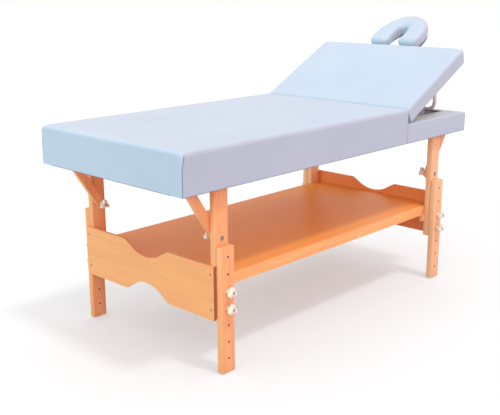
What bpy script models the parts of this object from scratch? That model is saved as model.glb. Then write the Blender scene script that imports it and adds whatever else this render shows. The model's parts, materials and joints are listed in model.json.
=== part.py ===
"""Reclining massage table: pine frame on four height-adjustable legs, lift-up backrest, face cradle.

Metres, +Z up. The head end lies towards +X and the left side, seen from the foot end, towards +Y.
The table is modelled from its foot end at X = 0 and is then centred over the origin.
"""
import math

import bmesh
import bpy
from mathutils import Matrix, Vector

# Overall sizes
TABLE_LENGTH = 1.850
TABLE_WIDTH = 0.842
TOP_HEIGHT = 0.870
BOX_HEIGHT = 0.154

# Fits shared by all pieces
SEAT_GAP = 0.0003
CUT_OVERRUN = 0.002
MERGE = 0.00001
RIM_ANGLE = math.radians(60.0)
FLAT_ANGLE = math.radians(0.5)
BORE_STEPS = 12

# Upholstery
VINYL = 0.0015
SIDE_ROUND = 0.016
HINGE_ROUND = 0.028
CORNER_ROUND = 0.010
HEAD_ROUND = 0.007
ROUND_STEPS = 4
CROWN = 0.003
CROWN_REACH = 0.085

# Timber under the upholstery
RAIL_HEIGHT = 0.078
RAIL_THICKNESS = 0.032
RAIL_EDGE = 0.008
CROSS_RAIL_SHARES = (0.386, 0.682)
DECK_THICKNESS = 0.012
DECK_EDGE = 0.004
DECK_SETBACK = 0.002
HINGE_RAIL_THICKNESS = 0.030

# Head section below the backrest, with the open well that takes the support bar
HEAD_RISE = 0.0110
HEAD_BORDER_THICKNESS = 0.0089
HEAD_BORDER_SETBACK = 0.011
WELL_SIDE = 0.103
WELL_FRONT_SPARE = 0.038
WELL_BACK_SPARE = 0.006
WELL_FLOOR_THICKNESS = 0.006
WELL_FLOOR_OVERLAP = 0.018

# Legs
EXTENSION_WIDTH = 0.068
EXTENSION_THICKNESS = 0.029
EXTENSION_DROP = 0.026
UPPER_LEG_WIDTH = 0.067
UPPER_LEG_THICKNESS = 0.030
UPPER_LEG_TAIL = 0.043
UPPER_LEG_TOP_DROP = 0.004
FOOT_LEG_FACE = 0.181
HEAD_LEG_SETBACK = 0.1625
LEG_EDGE = 0.006
HOLE_COUNT = 7
LOWEST_HOLE = 0.0585
TOP_HOLE_DROP = 0.0385
CLAMPED_HOLES = (3, 4)
HOLE_RADIUS = 0.0042
CLAMP_STUD_RADIUS = 0.0038

# Braces between the upper legs and the frame
BRACE_WIDTH = 0.037
BRACE_THICKNESS = 0.020
BRACE_ANGLE = math.radians(33.0)
BRACE_BOLT_DROP = 0.194
BRACE_TAIL = 0.024
BRACE_OVERLAP = 0.018
BRACE_EDGE = 0.003
BRACE_BOLT_RADIUS = 0.0038
BRACE_HEAD_RADIUS = 0.0095
BRACE_HEAD_DEPTH = 0.005
BLOCK_LENGTH = 0.056

# Waisted boards that join the legs at each end
PANEL_THICKNESS = 0.012
PANEL_HEIGHT = 0.210
PANEL_TAIL = 0.003
PANEL_DIP_HALF = 0.130
PANEL_DIP_DEPTH = 0.049
PANEL_ARCH_HALF = 0.128
PANEL_ARCH_HEIGHT = 0.053
PANEL_SWEEP_SHARE = 0.58
PANEL_DROP_SHARE = 0.64
PANEL_SWEEP_STEPS = 8

# Shelf
SHELF_DROP = 0.059
SHELF_RAIL_HEIGHT = 0.045
SHELF_RAIL_THICKNESS = 0.018
SHELF_BOARD_THICKNESS = 0.008
SHELF_REBATE = 0.010
CLEAT_HEIGHT = 0.030
CLEAT_THICKNESS = 0.012
CLEAT_REACH = 0.014

# Clamping knobs
KNOB_RADIUS = 0.0168
KNOB_LOBE = 0.0055
KNOB_LOBES = 3
KNOB_STEPS = 27
KNOB_THICKNESS = 0.016
KNOB_EDGE = 0.0028
KNOB_HUB_RADIUS = 0.0105
KNOB_HUB_HEIGHT = 0.013
KNOB_SOCKET_RADIUS = 0.0042
KNOB_SOCKET_DEPTH = 0.009
KNOB_RECESS_RADIUS = 0.0060
KNOB_RECESS = 0.002

# Backrest, stored raised
BACKREST_LENGTH = 0.498
HINGE_CLEARANCE = 0.0035
RECLINE_ANGLE = math.radians(28.0)
BACKREST_LIFT = 0.002
BACKREST_OVERHANG = 0.002
BACKREST_LEAN = 0.020
BACKREST_BOARD_THICKNESS = 0.018

# Long hinge under the crease
HINGE_SETBACK = 0.041
HINGE_KNUCKLES = 19
HINGE_STEPS = 8
HINGE_PIN_RADIUS = 0.0013
HINGE_PIN_PLAY = 0.0002
HINGE_LEAF = 0.0014
HINGE_LEAF_DROP = 0.0024
HINGE_SIDE_PLAY = 0.0005

# Support bar under the backrest
BAR_RADIUS = 0.0095
BAR_SIDE_ROOM = 0.023
BAR_BEND = 0.040
BAR_BEND_STEPS = 6
BAR_LENGTH = 0.189
BAR_TIP = 0.005
BAR_PIVOT_SETBACK = 0.068
BAR_PIVOT_DROP = 0.0140
BAR_OPEN_ANGLE = math.radians(67.8)
BAR_PIN_RADIUS = 0.003
BAR_PIN_PLAY = 0.0003
BRACKET_WIDTH = 0.034
BRACKET_PLATE = 0.0025
BRACKET_FLANGE = 0.022
BRACKET_LIP = 0.009
BRACKET_PLAY = 0.001

# Notched racks that the bar's foot stands on
RACK_FRONT_SHORT = 0.020
RACK_BACK_SPARE = 0.024
RACK_INSET = 0.086
RACK_THICKNESS = 0.018
RACK_CLEARANCE = 0.0008
RACK_STEPS = 72
RACK_SAMPLES = 160
RACK_REACH = math.radians(8.0)
NOTCH_DEPTH = 0.0060
NOTCH_STEPS = 20
NOTCH_ANGLES = tuple(math.radians(angle) for angle in (21.5, 16.5, 11.0))

# Face cradle
CRADLE_HALF_WIDTH = 0.145
CRADLE_HALF_LENGTH = 0.174
CRADLE_CENTRE = 0.084
CRADLE_HOLE_HALF_WIDTH = 0.046
CRADLE_HOLE_HALF_LENGTH = 0.088
CRADLE_HOLE_CENTRE = 0.076
CRADLE_START = 0.012
CRADLE_LIFT = 0.024
CRADLE_PAD_ROUND = 0.022
CRADLE_PAD_FOOT_ROUND = 0.009
CRADLE_TIP_ROUND = 0.026
CRADLE_PLATE_THICKNESS = 0.014
CRADLE_PLATE_SETBACK = 0.012
CRADLE_STEPS = 22
CRADLE_TIP_STEPS = 4
CRADLE_ROD_RADIUS = 0.006
CRADLE_ROD_PLACE = 0.086
CRADLE_ROD_INSIDE = 0.120
CRADLE_ROD_OUTSIDE = 0.130
CRADLE_ROD_PLAY = 0.0004

# Places worked out from the sizes above
HALF_WIDTH = TABLE_WIDTH / 2
UNDERSIDE_HEIGHT = TOP_HEIGHT - BOX_HEIGHT
FRAME_TOP = UNDERSIDE_HEIGHT + RAIL_HEIGHT
HEAD_TOP = FRAME_TOP + HEAD_RISE
SKIN = VINYL + SEAT_GAP
RAIL_OUTER = HALF_WIDTH - SKIN
RAIL_INNER = RAIL_OUTER - RAIL_THICKNESS
LEG_OUTER = RAIL_INNER - SEAT_GAP
LEG_INNER = LEG_OUTER - UPPER_LEG_THICKNESS
BRACE_OUTER = LEG_INNER - SEAT_GAP
BRACE_INNER = BRACE_OUTER - BRACE_THICKNESS
EXTENSION_INNER = LEG_OUTER + SEAT_GAP
EXTENSION_OUTER = EXTENSION_INNER + EXTENSION_THICKNESS
HEAD_LEG_FACE = TABLE_LENGTH - HEAD_LEG_SETBACK
BRACE_BOLT_HEIGHT = UNDERSIDE_HEIGHT - BRACE_BOLT_DROP
BRACE_TOP = UNDERSIDE_HEIGHT + BRACE_OVERLAP
EXTENSION_HEIGHT = BRACE_BOLT_HEIGHT - EXTENSION_DROP
HOLE_PITCH = (EXTENSION_HEIGHT - TOP_HOLE_DROP - LOWEST_HOLE) / (HOLE_COUNT - 1)
UPPER_LEG_BOTTOM = LOWEST_HOLE + HOLE_PITCH * CLAMPED_HOLES[0] - UPPER_LEG_TAIL
UPPER_LEG_TOP = FRAME_TOP - UPPER_LEG_TOP_DROP
PANEL_BOTTOM = UPPER_LEG_BOTTOM - PANEL_TAIL
PANEL_TOP = PANEL_BOTTOM + PANEL_HEIGHT
SHELF_TOP = PANEL_TOP - SHELF_DROP
FRAME_BOTTOM = UNDERSIDE_HEIGHT + SEAT_GAP
FOAM_TOP = TOP_HEIGHT - SKIN
HINGE_X = TABLE_LENGTH - BACKREST_LENGTH
HINGE_Z = TOP_HEIGHT - HINGE_ROUND
HINGE_HALF_WIDTH = HALF_WIDTH - HINGE_SETBACK
SEAT_END = HINGE_X - HINGE_CLEARANCE
HINGE_RAIL_END = SEAT_END - SKIN
HINGE_RAIL_START = HINGE_RAIL_END - HINGE_RAIL_THICKNESS
HINGE_KNUCKLE_RADIUS = HINGE_CLEARANCE - SEAT_GAP
HINGE_RAIL_TOP = HINGE_Z - HINGE_KNUCKLE_RADIUS - SEAT_GAP
HEAD_RAIL_START = TABLE_LENGTH - SKIN - RAIL_THICKNESS
BACKREST_BOTTOM = HEAD_TOP + BACKREST_LIFT
BACKREST_END = TABLE_LENGTH + BACKREST_OVERHANG
HINGE_LEAF_HEIGHT = HINGE_Z - BACKREST_BOTTOM - HINGE_LEAF_DROP
WELL_HALF_WIDTH = HALF_WIDTH - WELL_SIDE
WELL_FLOOR_HALF_WIDTH = WELL_HALF_WIDTH + WELL_FLOOR_OVERLAP
BAR_HALF_WIDTH = WELL_HALF_WIDTH - BAR_SIDE_ROOM
BAR_PIVOT_REACH = BACKREST_LENGTH - BAR_PIVOT_SETBACK
BAR_PIVOT_Z = BACKREST_BOTTOM - BAR_PIVOT_DROP
RACK_START = HINGE_X + BAR_PIVOT_REACH - BAR_LENGTH + RACK_FRONT_SHORT
RACK_END = HINGE_X + BAR_PIVOT_REACH + RACK_BACK_SPARE
RACK_PLACE = BAR_HALF_WIDTH - RACK_INSET
WELL_START = RACK_START - WELL_FRONT_SPARE
WELL_END = RACK_END + WELL_BACK_SPARE
RACK_TOP = BACKREST_BOTTOM - RACK_CLEARANCE
WELL_FLOOR_TOP = FRAME_BOTTOM + WELL_FLOOR_THICKNESS
SHELF_RAIL_BOTTOM = SHELF_TOP - SHELF_RAIL_HEIGHT


def clear_scene():
    for old in list(bpy.data.objects):
        bpy.data.objects.remove(old, do_unlink=True)


def new_collection(name):
    collection = bpy.data.collections.new(name)
    bpy.context.scene.collection.children.link(collection)
    return collection


clear_scene()
TABLE = new_collection("reclining_massage_table")
CUTTERS = new_collection("cutters")


def material(name, colour, roughness, metallic=0.0):
    made = bpy.data.materials.new(name)
    made.use_nodes = True
    shader = made.node_tree.nodes["Principled BSDF"]
    shader.inputs["Base Color"].default_value = (*colour, 1.0)
    shader.inputs["Roughness"].default_value = roughness
    shader.inputs["Metallic"].default_value = metallic
    made.diffuse_color = (*colour, 1.0)
    return made


PINE = material("varnished_pine", (0.90, 0.47, 0.24), 0.45)
PLYWOOD = material("plywood", (0.80, 0.52, 0.29), 0.60)
VINYL_LOOK = material("pale_vinyl", (0.74, 0.79, 0.90), 0.45)
FOAM_LOOK = material("upholstery_foam", (0.86, 0.80, 0.55), 0.95)
PAINTED_STEEL = material("painted_steel", (0.78, 0.74, 0.78), 0.35)
PLATED_STEEL = material("plated_steel", (0.62, 0.61, 0.60), 0.30, 1.0)
KNOB_PLASTIC = material("cream_plastic", (0.95, 0.84, 0.68), 0.40)


def empty(name, location, parent=None, turn=0.0):
    """An axis that pieces hang on; turn lifts what lies towards +X."""
    made = bpy.data.objects.new(name, None)
    TABLE.objects.link(made)
    made.location = location
    made.rotation_euler = (0.0, -turn, 0.0)
    made.parent = parent
    return made


ORIGIN = empty("table_origin", (0.0, 0.0, 0.0))


def add_piece(name, mesh, look, parent=ORIGIN, location=(0.0, 0.0, 0.0)):
    made = bpy.data.objects.new(name, mesh)
    TABLE.objects.link(made)
    made.parent = parent
    made.location = location
    if not mesh.materials:
        mesh.materials.append(look)
    return made


def mesh_from(bm, name):
    mesh = bpy.data.meshes.new(name)
    bm.to_mesh(mesh)
    bm.free()
    return mesh


def box_bmesh(low, high):
    bm = bmesh.new()
    bmesh.ops.create_cube(bm, size=1.0)
    low, high = Vector(low), Vector(high)
    size = high - low
    bmesh.ops.scale(bm, vec=size, verts=bm.verts)
    bmesh.ops.translate(bm, vec=(low + high) / 2, verts=bm.verts)
    return bm


def round_edges(piece, width, segments=2, by_weight=False):
    bevel = piece.modifiers.new("rounded edges", "BEVEL")
    bevel.width = width
    bevel.segments = segments
    bevel.limit_method = "WEIGHT" if by_weight else "ANGLE"
    return bevel


def board(name, low, high, look=PINE, edge=0.0, segments=2, parent=ORIGIN, location=(0.0, 0.0, 0.0)):
    piece = add_piece(name, mesh_from(box_bmesh(low, high), name), look, parent, location)
    if edge:
        round_edges(piece, edge, segments)
    return piece


def spun(bm, profile, centre, axis, steps=BORE_STEPS):
    """Turn a profile of (distance along the axis, radius) points about an axis through centre."""
    centre = Vector(centre)
    axis = Vector(axis).normalized()
    side = axis.orthogonal().normalized()
    verts = [bm.verts.new(centre + axis * along + side * radius) for along, radius in profile]
    edges = [bm.edges.new(pair) for pair in zip(verts, verts[1:])]
    bmesh.ops.spin(bm, geom=verts + edges, cent=centre, axis=axis, angle=math.tau, steps=steps,
                   use_merge=True)
    bmesh.ops.remove_doubles(bm, verts=bm.verts, dist=MERGE)
    bmesh.ops.recalc_face_normals(bm, faces=bm.faces)


def headed(length, radius, head_radius, head_height):
    """Profile of a bolt: its head starts at zero and the shank runs on to length."""
    return [(0.0, 0.0), (0.0, head_radius), (head_height, head_radius), (head_height, radius),
            (length, radius), (length, 0.0)]


def plain(start, end, radius):
    return [(start, 0.0), (start, radius), (end, radius), (end, 0.0)]


def cutter(name, bm, parent=ORIGIN):
    made = bpy.data.objects.new(name, mesh_from(bm, name))
    CUTTERS.objects.link(made)
    made.parent = parent
    made.display_type = "WIRE"
    made.hide_render = True
    return made


def cut(piece, tool):
    hollow = piece.modifiers.new("cut " + tool.name, "BOOLEAN")
    hollow.operation = "DIFFERENCE"
    hollow.solver = "EXACT"
    hollow.object = tool


def union(piece, tool):
    joined = piece.modifiers.new("joined " + tool.name, "BOOLEAN")
    joined.operation = "UNION"
    joined.solver = "EXACT"
    joined.use_self = True
    joined.object = tool


def outline_curve(name, points, thickness):
    """A flat filled outline in the curve's own XY plane, thickened both ways."""
    curve = bpy.data.curves.new(name, "CURVE")
    curve.dimensions = "2D"
    curve.fill_mode = "BOTH"
    curve.extrude = thickness / 2
    spline = curve.splines.new("POLY")
    spline.points.add(len(points) - 1)
    for point, (across, up) in zip(spline.points, points):
        point.co = (across, up, 0.0, 1.0)
    spline.use_cyclic_u = True
    return bpy.data.objects.new(name, curve)


def mesh_of(source, turn=Matrix.Identity(4)):
    """The evaluated mesh of an object, welded shut; the object is removed."""
    TABLE.objects.link(source)
    bpy.context.view_layer.update()
    graph = bpy.context.evaluated_depsgraph_get()
    mesh = bpy.data.meshes.new_from_object(source.evaluated_get(graph))
    bm = bmesh.new()
    bm.from_mesh(mesh)
    bmesh.ops.remove_doubles(bm, verts=bm.verts, dist=MERGE)
    bmesh.ops.transform(bm, matrix=turn, verts=bm.verts)
    bmesh.ops.recalc_face_normals(bm, faces=bm.faces)
    bm.to_mesh(mesh)
    bm.free()
    mesh.name = source.name
    bpy.data.objects.remove(source, do_unlink=True)
    return mesh


def whole_caps(mesh):
    """Joins the triangles of each flat cap into one face, so that its rim can be rounded."""
    bm = bmesh.new()
    bm.from_mesh(mesh)
    bmesh.ops.dissolve_limit(bm, angle_limit=FLAT_ANGLE, verts=[], edges=bm.edges)
    bm.to_mesh(mesh)
    bm.free()
    return mesh


# Turns an outline drawn in XY so that it stands in the XZ plane, or in the YZ plane
UPRIGHT_ALONG_X = Matrix.Rotation(math.pi / 2, 4, "X")
UPRIGHT_ALONG_Y = Matrix(((0, 0, 1, 0), (1, 0, 0, 0), (0, 1, 0, 0), (0, 0, 0, 1)))


def profile_piece(name, points, thickness, turn, look, parent=ORIGIN, location=(0.0, 0.0, 0.0)):
    mesh = mesh_of(outline_curve(name, points, thickness), turn)
    return add_piece(name, mesh, look, parent, location)


def upholstered_block(low, high, hinge_end, shrink=0.0, lean=0.0):
    """A box with a crowned top whose top edges and corners carry bevel weights.

    hinge_end is -1 or +1 along X. The top falls away towards the sides and the end far from the hinge.
    """
    bm = box_bmesh(low, high)
    far, hinge_x = (low[0], high[0]) if hinge_end > 0 else (high[0], low[0])
    flat_x = far + hinge_end * (CROWN_REACH - shrink)
    flat_y = high[1] - CROWN_REACH + shrink
    for place, across_y in ((flat_x, 0), (flat_y, 1), (-flat_y, 1)):
        normal = Vector((0, 1, 0)) if across_y else Vector((1, 0, 0))
        bmesh.ops.bisect_plane(bm, geom=[*bm.verts, *bm.edges, *bm.faces], dist=MERGE,
                               plane_co=normal * place, plane_no=normal)
    side_share = (SIDE_ROUND - shrink) / (HINGE_ROUND - shrink)
    corner_share = (CORNER_ROUND - shrink) / (HINGE_ROUND - shrink)
    weight = bm.edges.layers.float.new("bevel_weight_edge")
    for edge in bm.edges:
        first, second = (vert.co for vert in edge.verts)
        along_side = min(abs(first.y), abs(second.y)) > flat_y + MERGE
        across_end = abs(first.x - second.x) < MERGE and abs(first.x - flat_x) > MERGE
        if min(first.z, second.z) > high[2] - MERGE and (along_side or across_end):
            at_hinge = across_end and abs(first.x - hinge_x) < MERGE
            edge[weight] = 1.0 if at_hinge else side_share
        elif abs(first.z - second.z) > MERGE and along_side and across_end:
            edge[weight] = corner_share
    for vert in bm.verts:
        if vert.co.z > high[2] - MERGE:
            beyond = abs(vert.co.y) > flat_y + MERGE or (flat_x - vert.co.x) * hinge_end > MERGE
            vert.co.z -= CROWN if beyond else 0.0
            vert.co.x += lean if abs(vert.co.x - far) < MERGE else 0.0
    bm.normal_update()
    return bm


def faces_along(bm, axis, sign):
    """Faces that look mainly along one axis, towards the side given by sign."""
    others = [other for other in range(3) if other != axis]
    return [face for face in bm.faces
            if face.normal[axis] * sign > max(abs(face.normal[other]) for other in others)]


def skin_shell(name, bm, width, parent=ORIGIN, location=(0.0, 0.0, 0.0)):
    """An open, rounded surface given the thickness of the vinyl on its inner side."""
    piece = add_piece(name, mesh_from(bm, name), VINYL_LOOK, parent, location)
    round_edges(piece, width, ROUND_STEPS, by_weight=True)
    shell = piece.modifiers.new("vinyl thickness", "SOLIDIFY")
    shell.thickness = VINYL
    shell.offset = -1.0
    shell.use_even_offset = True
    return piece


def side_rails():
    for side, sign in (("left", 1), ("right", -1)):
        inner, outer = sorted((sign * RAIL_INNER, sign * RAIL_OUTER))
        board(f"side_rail_{side}", (SKIN, inner, FRAME_BOTTOM), (TABLE_LENGTH - SKIN, outer, FRAME_TOP),
              edge=RAIL_EDGE, segments=3)


def cross_rails():
    """Rails between the side rails: the two ends, two under the seat and the tall one at the hinge."""
    half = RAIL_INNER - SEAT_GAP
    for name, start in (("foot", SKIN), ("head", HEAD_RAIL_START)):
        board(f"end_rail_{name}", (start, -half, FRAME_BOTTOM), (start + RAIL_THICKNESS, half, FRAME_TOP),
              edge=DECK_EDGE)
    for number, share in enumerate(CROSS_RAIL_SHARES, start=1):
        start = SEAT_END * share - RAIL_THICKNESS / 2
        board(f"cross_rail_{number}", (start, -half, FRAME_BOTTOM),
              (start + RAIL_THICKNESS, half, FRAME_TOP), edge=DECK_EDGE)
    board("hinge_rail", (HINGE_RAIL_START, -half, FRAME_BOTTOM), (HINGE_RAIL_END, half, HINGE_RAIL_TOP))


def seat_deck():
    half = RAIL_OUTER - DECK_SETBACK
    low = FRAME_TOP + SEAT_GAP
    board("seat_deck", (SKIN + DECK_SETBACK, -half, low),
          (HINGE_RAIL_START - SEAT_GAP, half, low + DECK_THICKNESS), PLYWOOD, DECK_EDGE)


def seat_foam():
    low = (SKIN, -RAIL_OUTER, FRAME_TOP + DECK_THICKNESS + 2 * SEAT_GAP)
    bm = upholstered_block(low, (SEAT_END - SKIN, RAIL_OUTER, FOAM_TOP), 1, SKIN)
    foam = add_piece("seat_foam", mesh_from(bm, "seat_foam"), FOAM_LOOK)
    round_edges(foam, HINGE_ROUND - SKIN, ROUND_STEPS, by_weight=True)
    rail = box_bmesh((HINGE_RAIL_START - SEAT_GAP, -RAIL_INNER, FRAME_BOTTOM),
                     (SEAT_END, RAIL_INNER, HINGE_RAIL_TOP + SEAT_GAP))
    cut(foam, cutter("hinge_rail_room", rail))


def seat_cover():
    """Vinyl over the seat, down the sides and foot end to the underside, down to the head at the hinge."""
    bm = upholstered_block((0.0, -HALF_WIDTH, UNDERSIDE_HEIGHT), (SEAT_END, HALF_WIDTH, TOP_HEIGHT), 1)
    end = faces_along(bm, 0, 1)
    ends = set(end) | {edge for face in end for edge in face.edges}
    bmesh.ops.bisect_plane(bm, geom=list(ends | set(bm.verts)), dist=MERGE,
                           plane_co=(0.0, 0.0, HEAD_TOP + SEAT_GAP), plane_no=(0.0, 0.0, 1.0))
    low_end = [face for face in faces_along(bm, 0, 1) if face.calc_center_median().z < HEAD_TOP]
    bmesh.ops.delete(bm, geom=low_end + faces_along(bm, 2, -1), context="FACES")
    skin_shell("seat_cover", bm, HINGE_ROUND)


def head_border():
    """Plywood ring on the frame around the well."""
    low = FRAME_TOP + SEAT_GAP
    half = HALF_WIDTH - HEAD_BORDER_SETBACK
    ring = board("head_border", (SEAT_END + SEAT_GAP, -half, low),
                 (TABLE_LENGTH - HEAD_BORDER_SETBACK, half, low + HEAD_BORDER_THICKNESS), PLYWOOD)
    room = box_bmesh((WELL_START, -WELL_HALF_WIDTH, low - CUT_OVERRUN),
                     (WELL_END, WELL_HALF_WIDTH, HEAD_TOP + CUT_OVERRUN))
    cut(ring, cutter("well_room", room))


def head_cover():
    """Vinyl on the head section: sides, head end and the border around the well."""
    start = SEAT_END + SEAT_GAP
    bm = box_bmesh((start, -HALF_WIDTH, UNDERSIDE_HEIGHT), (TABLE_LENGTH, HALF_WIDTH, HEAD_TOP))
    weight = bm.edges.layers.float.new("bevel_weight_edge")
    for edge in bm.edges:
        first, second = (vert.co for vert in edge.verts)
        on_top = first.z == second.z and first.z > UNDERSIDE_HEIGHT + VINYL
        at_start = first.x < HINGE_X and second.x < HINGE_X
        upright = first.z != second.z
        if (on_top or upright) and not at_start:
            edge[weight] = 1.0
    for place, normal in ((WELL_START, (1, 0, 0)), (WELL_END, (1, 0, 0)),
                          (-WELL_HALF_WIDTH, (0, 1, 0)), (WELL_HALF_WIDTH, (0, 1, 0))):
        top = [face for face in bm.faces if face.normal.z > 0]
        edges = {edge for face in top for edge in face.edges}
        verts = {vert for face in top for vert in face.verts}
        plane = Vector(normal)
        bmesh.ops.bisect_plane(bm, geom=top + list(edges) + list(verts), dist=MERGE,
                               plane_co=plane * place, plane_no=plane)
    gone = []
    for face in bm.faces:
        middle = face.calc_center_median()
        over_well = WELL_START < middle.x < WELL_END and abs(middle.y) < WELL_HALF_WIDTH
        if face.normal.z < 0 or face.normal.x < 0 or (face.normal.z > 0 and over_well):
            gone.append(face)
    bmesh.ops.delete(bm, geom=gone, context="FACES")
    skin_shell("head_cover", bm, HEAD_ROUND)


def well_floor():
    board("well_floor", (HINGE_RAIL_END + SEAT_GAP, -WELL_FLOOR_HALF_WIDTH, FRAME_BOTTOM),
          (HEAD_RAIL_START - SEAT_GAP, WELL_FLOOR_HALF_WIDTH, WELL_FLOOR_TOP), PLYWOOD)


def bar_foot(raised):
    """Where the middle of the bar's foot lies, in X and Z, with the backrest raised by an angle."""
    ratio = BAR_OPEN_ANGLE / RECLINE_ANGLE
    slope = raised * (1 + ratio)
    drop = BAR_PIVOT_Z - HINGE_Z
    pivot_x = HINGE_X + BAR_PIVOT_REACH * math.cos(raised) - drop * math.sin(raised)
    pivot_z = HINGE_Z + BAR_PIVOT_REACH * math.sin(raised) + drop * math.cos(raised)
    return pivot_x - BAR_LENGTH * math.cos(slope), pivot_z - BAR_LENGTH * math.sin(slope)


def rack_height(place):
    """The rack's top edge stays below every place that the bar's foot passes."""
    reach = BAR_RADIUS + RACK_CLEARANCE
    top = RACK_TOP
    for number in range(RACK_SAMPLES + 1):
        foot_x, foot_z = bar_foot((RECLINE_ANGLE + RACK_REACH) * number / RACK_SAMPLES)
        away = abs(place - foot_x)
        if away < reach:
            top = min(top, foot_z - math.sqrt(reach * reach - away * away))
    return top


def notch_room(name):
    """Round cutters under the bar's foot, one for each step of the backrest."""
    bm = bmesh.new()
    radius = BAR_RADIUS + RACK_CLEARANCE
    for raised in NOTCH_ANGLES:
        foot_x, foot_z = bar_foot(raised)
        spun(bm, plain(-RACK_PLACE - RACK_THICKNESS, RACK_PLACE + RACK_THICKNESS, radius),
             (foot_x, 0.0, foot_z - NOTCH_DEPTH), (0.0, 1.0, 0.0), NOTCH_STEPS)
    return cutter(name, bm)


def racks():
    low = WELL_FLOOR_TOP + SEAT_GAP
    span = RACK_END - RACK_START
    places = [RACK_START + span * number / RACK_STEPS for number in range(RACK_STEPS + 1)]
    points = [(RACK_START, low), (RACK_END, low)] + [(x, rack_height(x)) for x in reversed(places)]
    room = notch_room("rack_notches")
    for side, sign in (("left", 1), ("right", -1)):
        rack = profile_piece(f"bar_rack_{side}", points, RACK_THICKNESS, UPRIGHT_ALONG_X, PINE,
                             location=(0.0, sign * RACK_PLACE, 0.0))
        cut(rack, room)


def leg_stations():
    """Name, side sign, end sign, the leg's end face and its middle along X, for the four legs."""
    for end, toward, face in (("foot", -1, FOOT_LEG_FACE), ("head", 1, HEAD_LEG_FACE)):
        for side, sign in (("left", 1), ("right", -1)):
            yield f"{end}_{side}", sign, toward, face, face - toward * EXTENSION_WIDTH / 2


def hole_height(number):
    return LOWEST_HOLE + HOLE_PITCH * number


def across(sign, inner, outer):
    """The lower and the higher Y of a board between two distances from the middle plane."""
    return sorted((sign * inner, sign * outer))


def upper_leg(name, sign, toward, face, middle):
    """Upper leg board with the glued cleat that the shelf rail stands on, longer towards the middle."""
    low_y, high_y = across(sign, LEG_INNER, LEG_OUTER)
    low_x, high_x = sorted((face, face - toward * UPPER_LEG_WIDTH))
    leg = board(f"upper_leg_{name}", (low_x, low_y, UPPER_LEG_BOTTOM), (high_x, high_y, UPPER_LEG_TOP),
                edge=LEG_EDGE)
    cleat_top = SHELF_RAIL_BOTTOM - SEAT_GAP
    low_y, high_y = across(sign, BRACE_OUTER - CLEAT_THICKNESS, LEG_INNER + CUT_OVERRUN)
    start, end = sorted((face - toward * LEG_EDGE, face - toward * (UPPER_LEG_WIDTH + CLEAT_REACH)))
    cleat = box_bmesh((start, low_y, cleat_top - CLEAT_HEIGHT), (end, high_y, cleat_top))
    union(leg, cutter(f"shelf_cleat_{name}", cleat))
    bm = bmesh.new()
    start = (middle, sign * LEG_OUTER, BRACE_BOLT_HEIGHT)
    spun(bm, headed(UPPER_LEG_THICKNESS + CUT_OVERRUN, HOLE_RADIUS, BRACE_HEAD_RADIUS + SEAT_GAP,
                    BRACE_HEAD_DEPTH + SEAT_GAP), start, (0.0, -sign, 0.0))
    for number in CLAMPED_HOLES:
        start = (middle, sign * LEG_INNER, hole_height(number))
        spun(bm, plain(-CUT_OVERRUN, UPPER_LEG_THICKNESS + CUT_OVERRUN, HOLE_RADIUS), start,
             (0.0, sign, 0.0))
    cut(leg, cutter(f"upper_leg_holes_{name}", bm))


def leg_extension(name, sign, middle):
    low_y, high_y = across(sign, 0.0, EXTENSION_THICKNESS)
    half = EXTENSION_WIDTH / 2
    leg = board(f"leg_extension_{name}", (-half, low_y, 0.0), (half, high_y, EXTENSION_HEIGHT),
                edge=LEG_EDGE, location=(middle, sign * EXTENSION_INNER, 0.0))
    bm = bmesh.new()
    for number in range(HOLE_COUNT):
        start = (middle, sign * EXTENSION_INNER, hole_height(number))
        spun(bm, plain(-CUT_OVERRUN, EXTENSION_THICKNESS + CUT_OVERRUN, HOLE_RADIUS), start,
             (0.0, sign, 0.0))
    cut(leg, cutter(f"extension_holes_{name}", bm))


def brace_outline(toward):
    """Outline of a brace in X and Z about its bolt; it climbs away towards the table's end."""
    along = Vector((toward * math.sin(BRACE_ANGLE), math.cos(BRACE_ANGLE)))
    side = Vector((along.y, -along.x)) * BRACE_WIDTH / 2
    rise = (BRACE_TOP - BRACE_BOLT_HEIGHT) / math.cos(BRACE_ANGLE)
    lean = math.tan(BRACE_ANGLE) * BRACE_WIDTH / 2
    foot = -BRACE_TAIL * along
    return [tuple(foot - side), tuple(foot + side), tuple(side + along * (rise + toward * lean)),
            tuple(-side + along * (rise - toward * lean))]


def brace(name, sign, toward, middle):
    """A brace with the glued block that carries its upper end on the side rail."""
    place = (middle, sign * (BRACE_OUTER - BRACE_THICKNESS / 2), BRACE_BOLT_HEIGHT)
    piece = profile_piece(f"brace_{name}", brace_outline(toward), BRACE_THICKNESS, UPRIGHT_ALONG_X, PINE,
                          location=place)
    round_edges(piece, BRACE_EDGE)
    top = BRACE_TOP - BRACE_EDGE
    reach = ((top + FRAME_BOTTOM) / 2 - BRACE_BOLT_HEIGHT) * math.tan(BRACE_ANGLE)
    start = middle + toward * reach - BLOCK_LENGTH / 2
    low_y, high_y = across(sign, BRACE_OUTER - CUT_OVERRUN, RAIL_INNER - SEAT_GAP)
    block = box_bmesh((start, low_y, FRAME_BOTTOM), (start + BLOCK_LENGTH, high_y, top))
    union(piece, cutter(f"brace_block_{name}", block))
    bm = bmesh.new()
    half = BRACE_THICKNESS / 2 + CUT_OVERRUN
    spun(bm, plain(-half, half, HOLE_RADIUS), place, (0.0, 1.0, 0.0))
    cut(piece, cutter(f"brace_hole_{name}", bm))


def waisted_edge(half, height):
    """Half of a panel's dip, from its outer corner to the middle: a straight slope, then an arc."""
    sweep = half * PANEL_SWEEP_SHARE
    drop = height * PANEL_DROP_SHARE
    rest = height - drop
    radius = (sweep * sweep + rest * rest) / (2 * rest)
    points = [(half, 0.0)]
    for number in range(PANEL_SWEEP_STEPS):
        across_y = sweep * (1 - number / PANEL_SWEEP_STEPS)
        points.append((across_y, height - radius + math.sqrt(radius * radius - across_y * across_y)))
    return points


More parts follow.
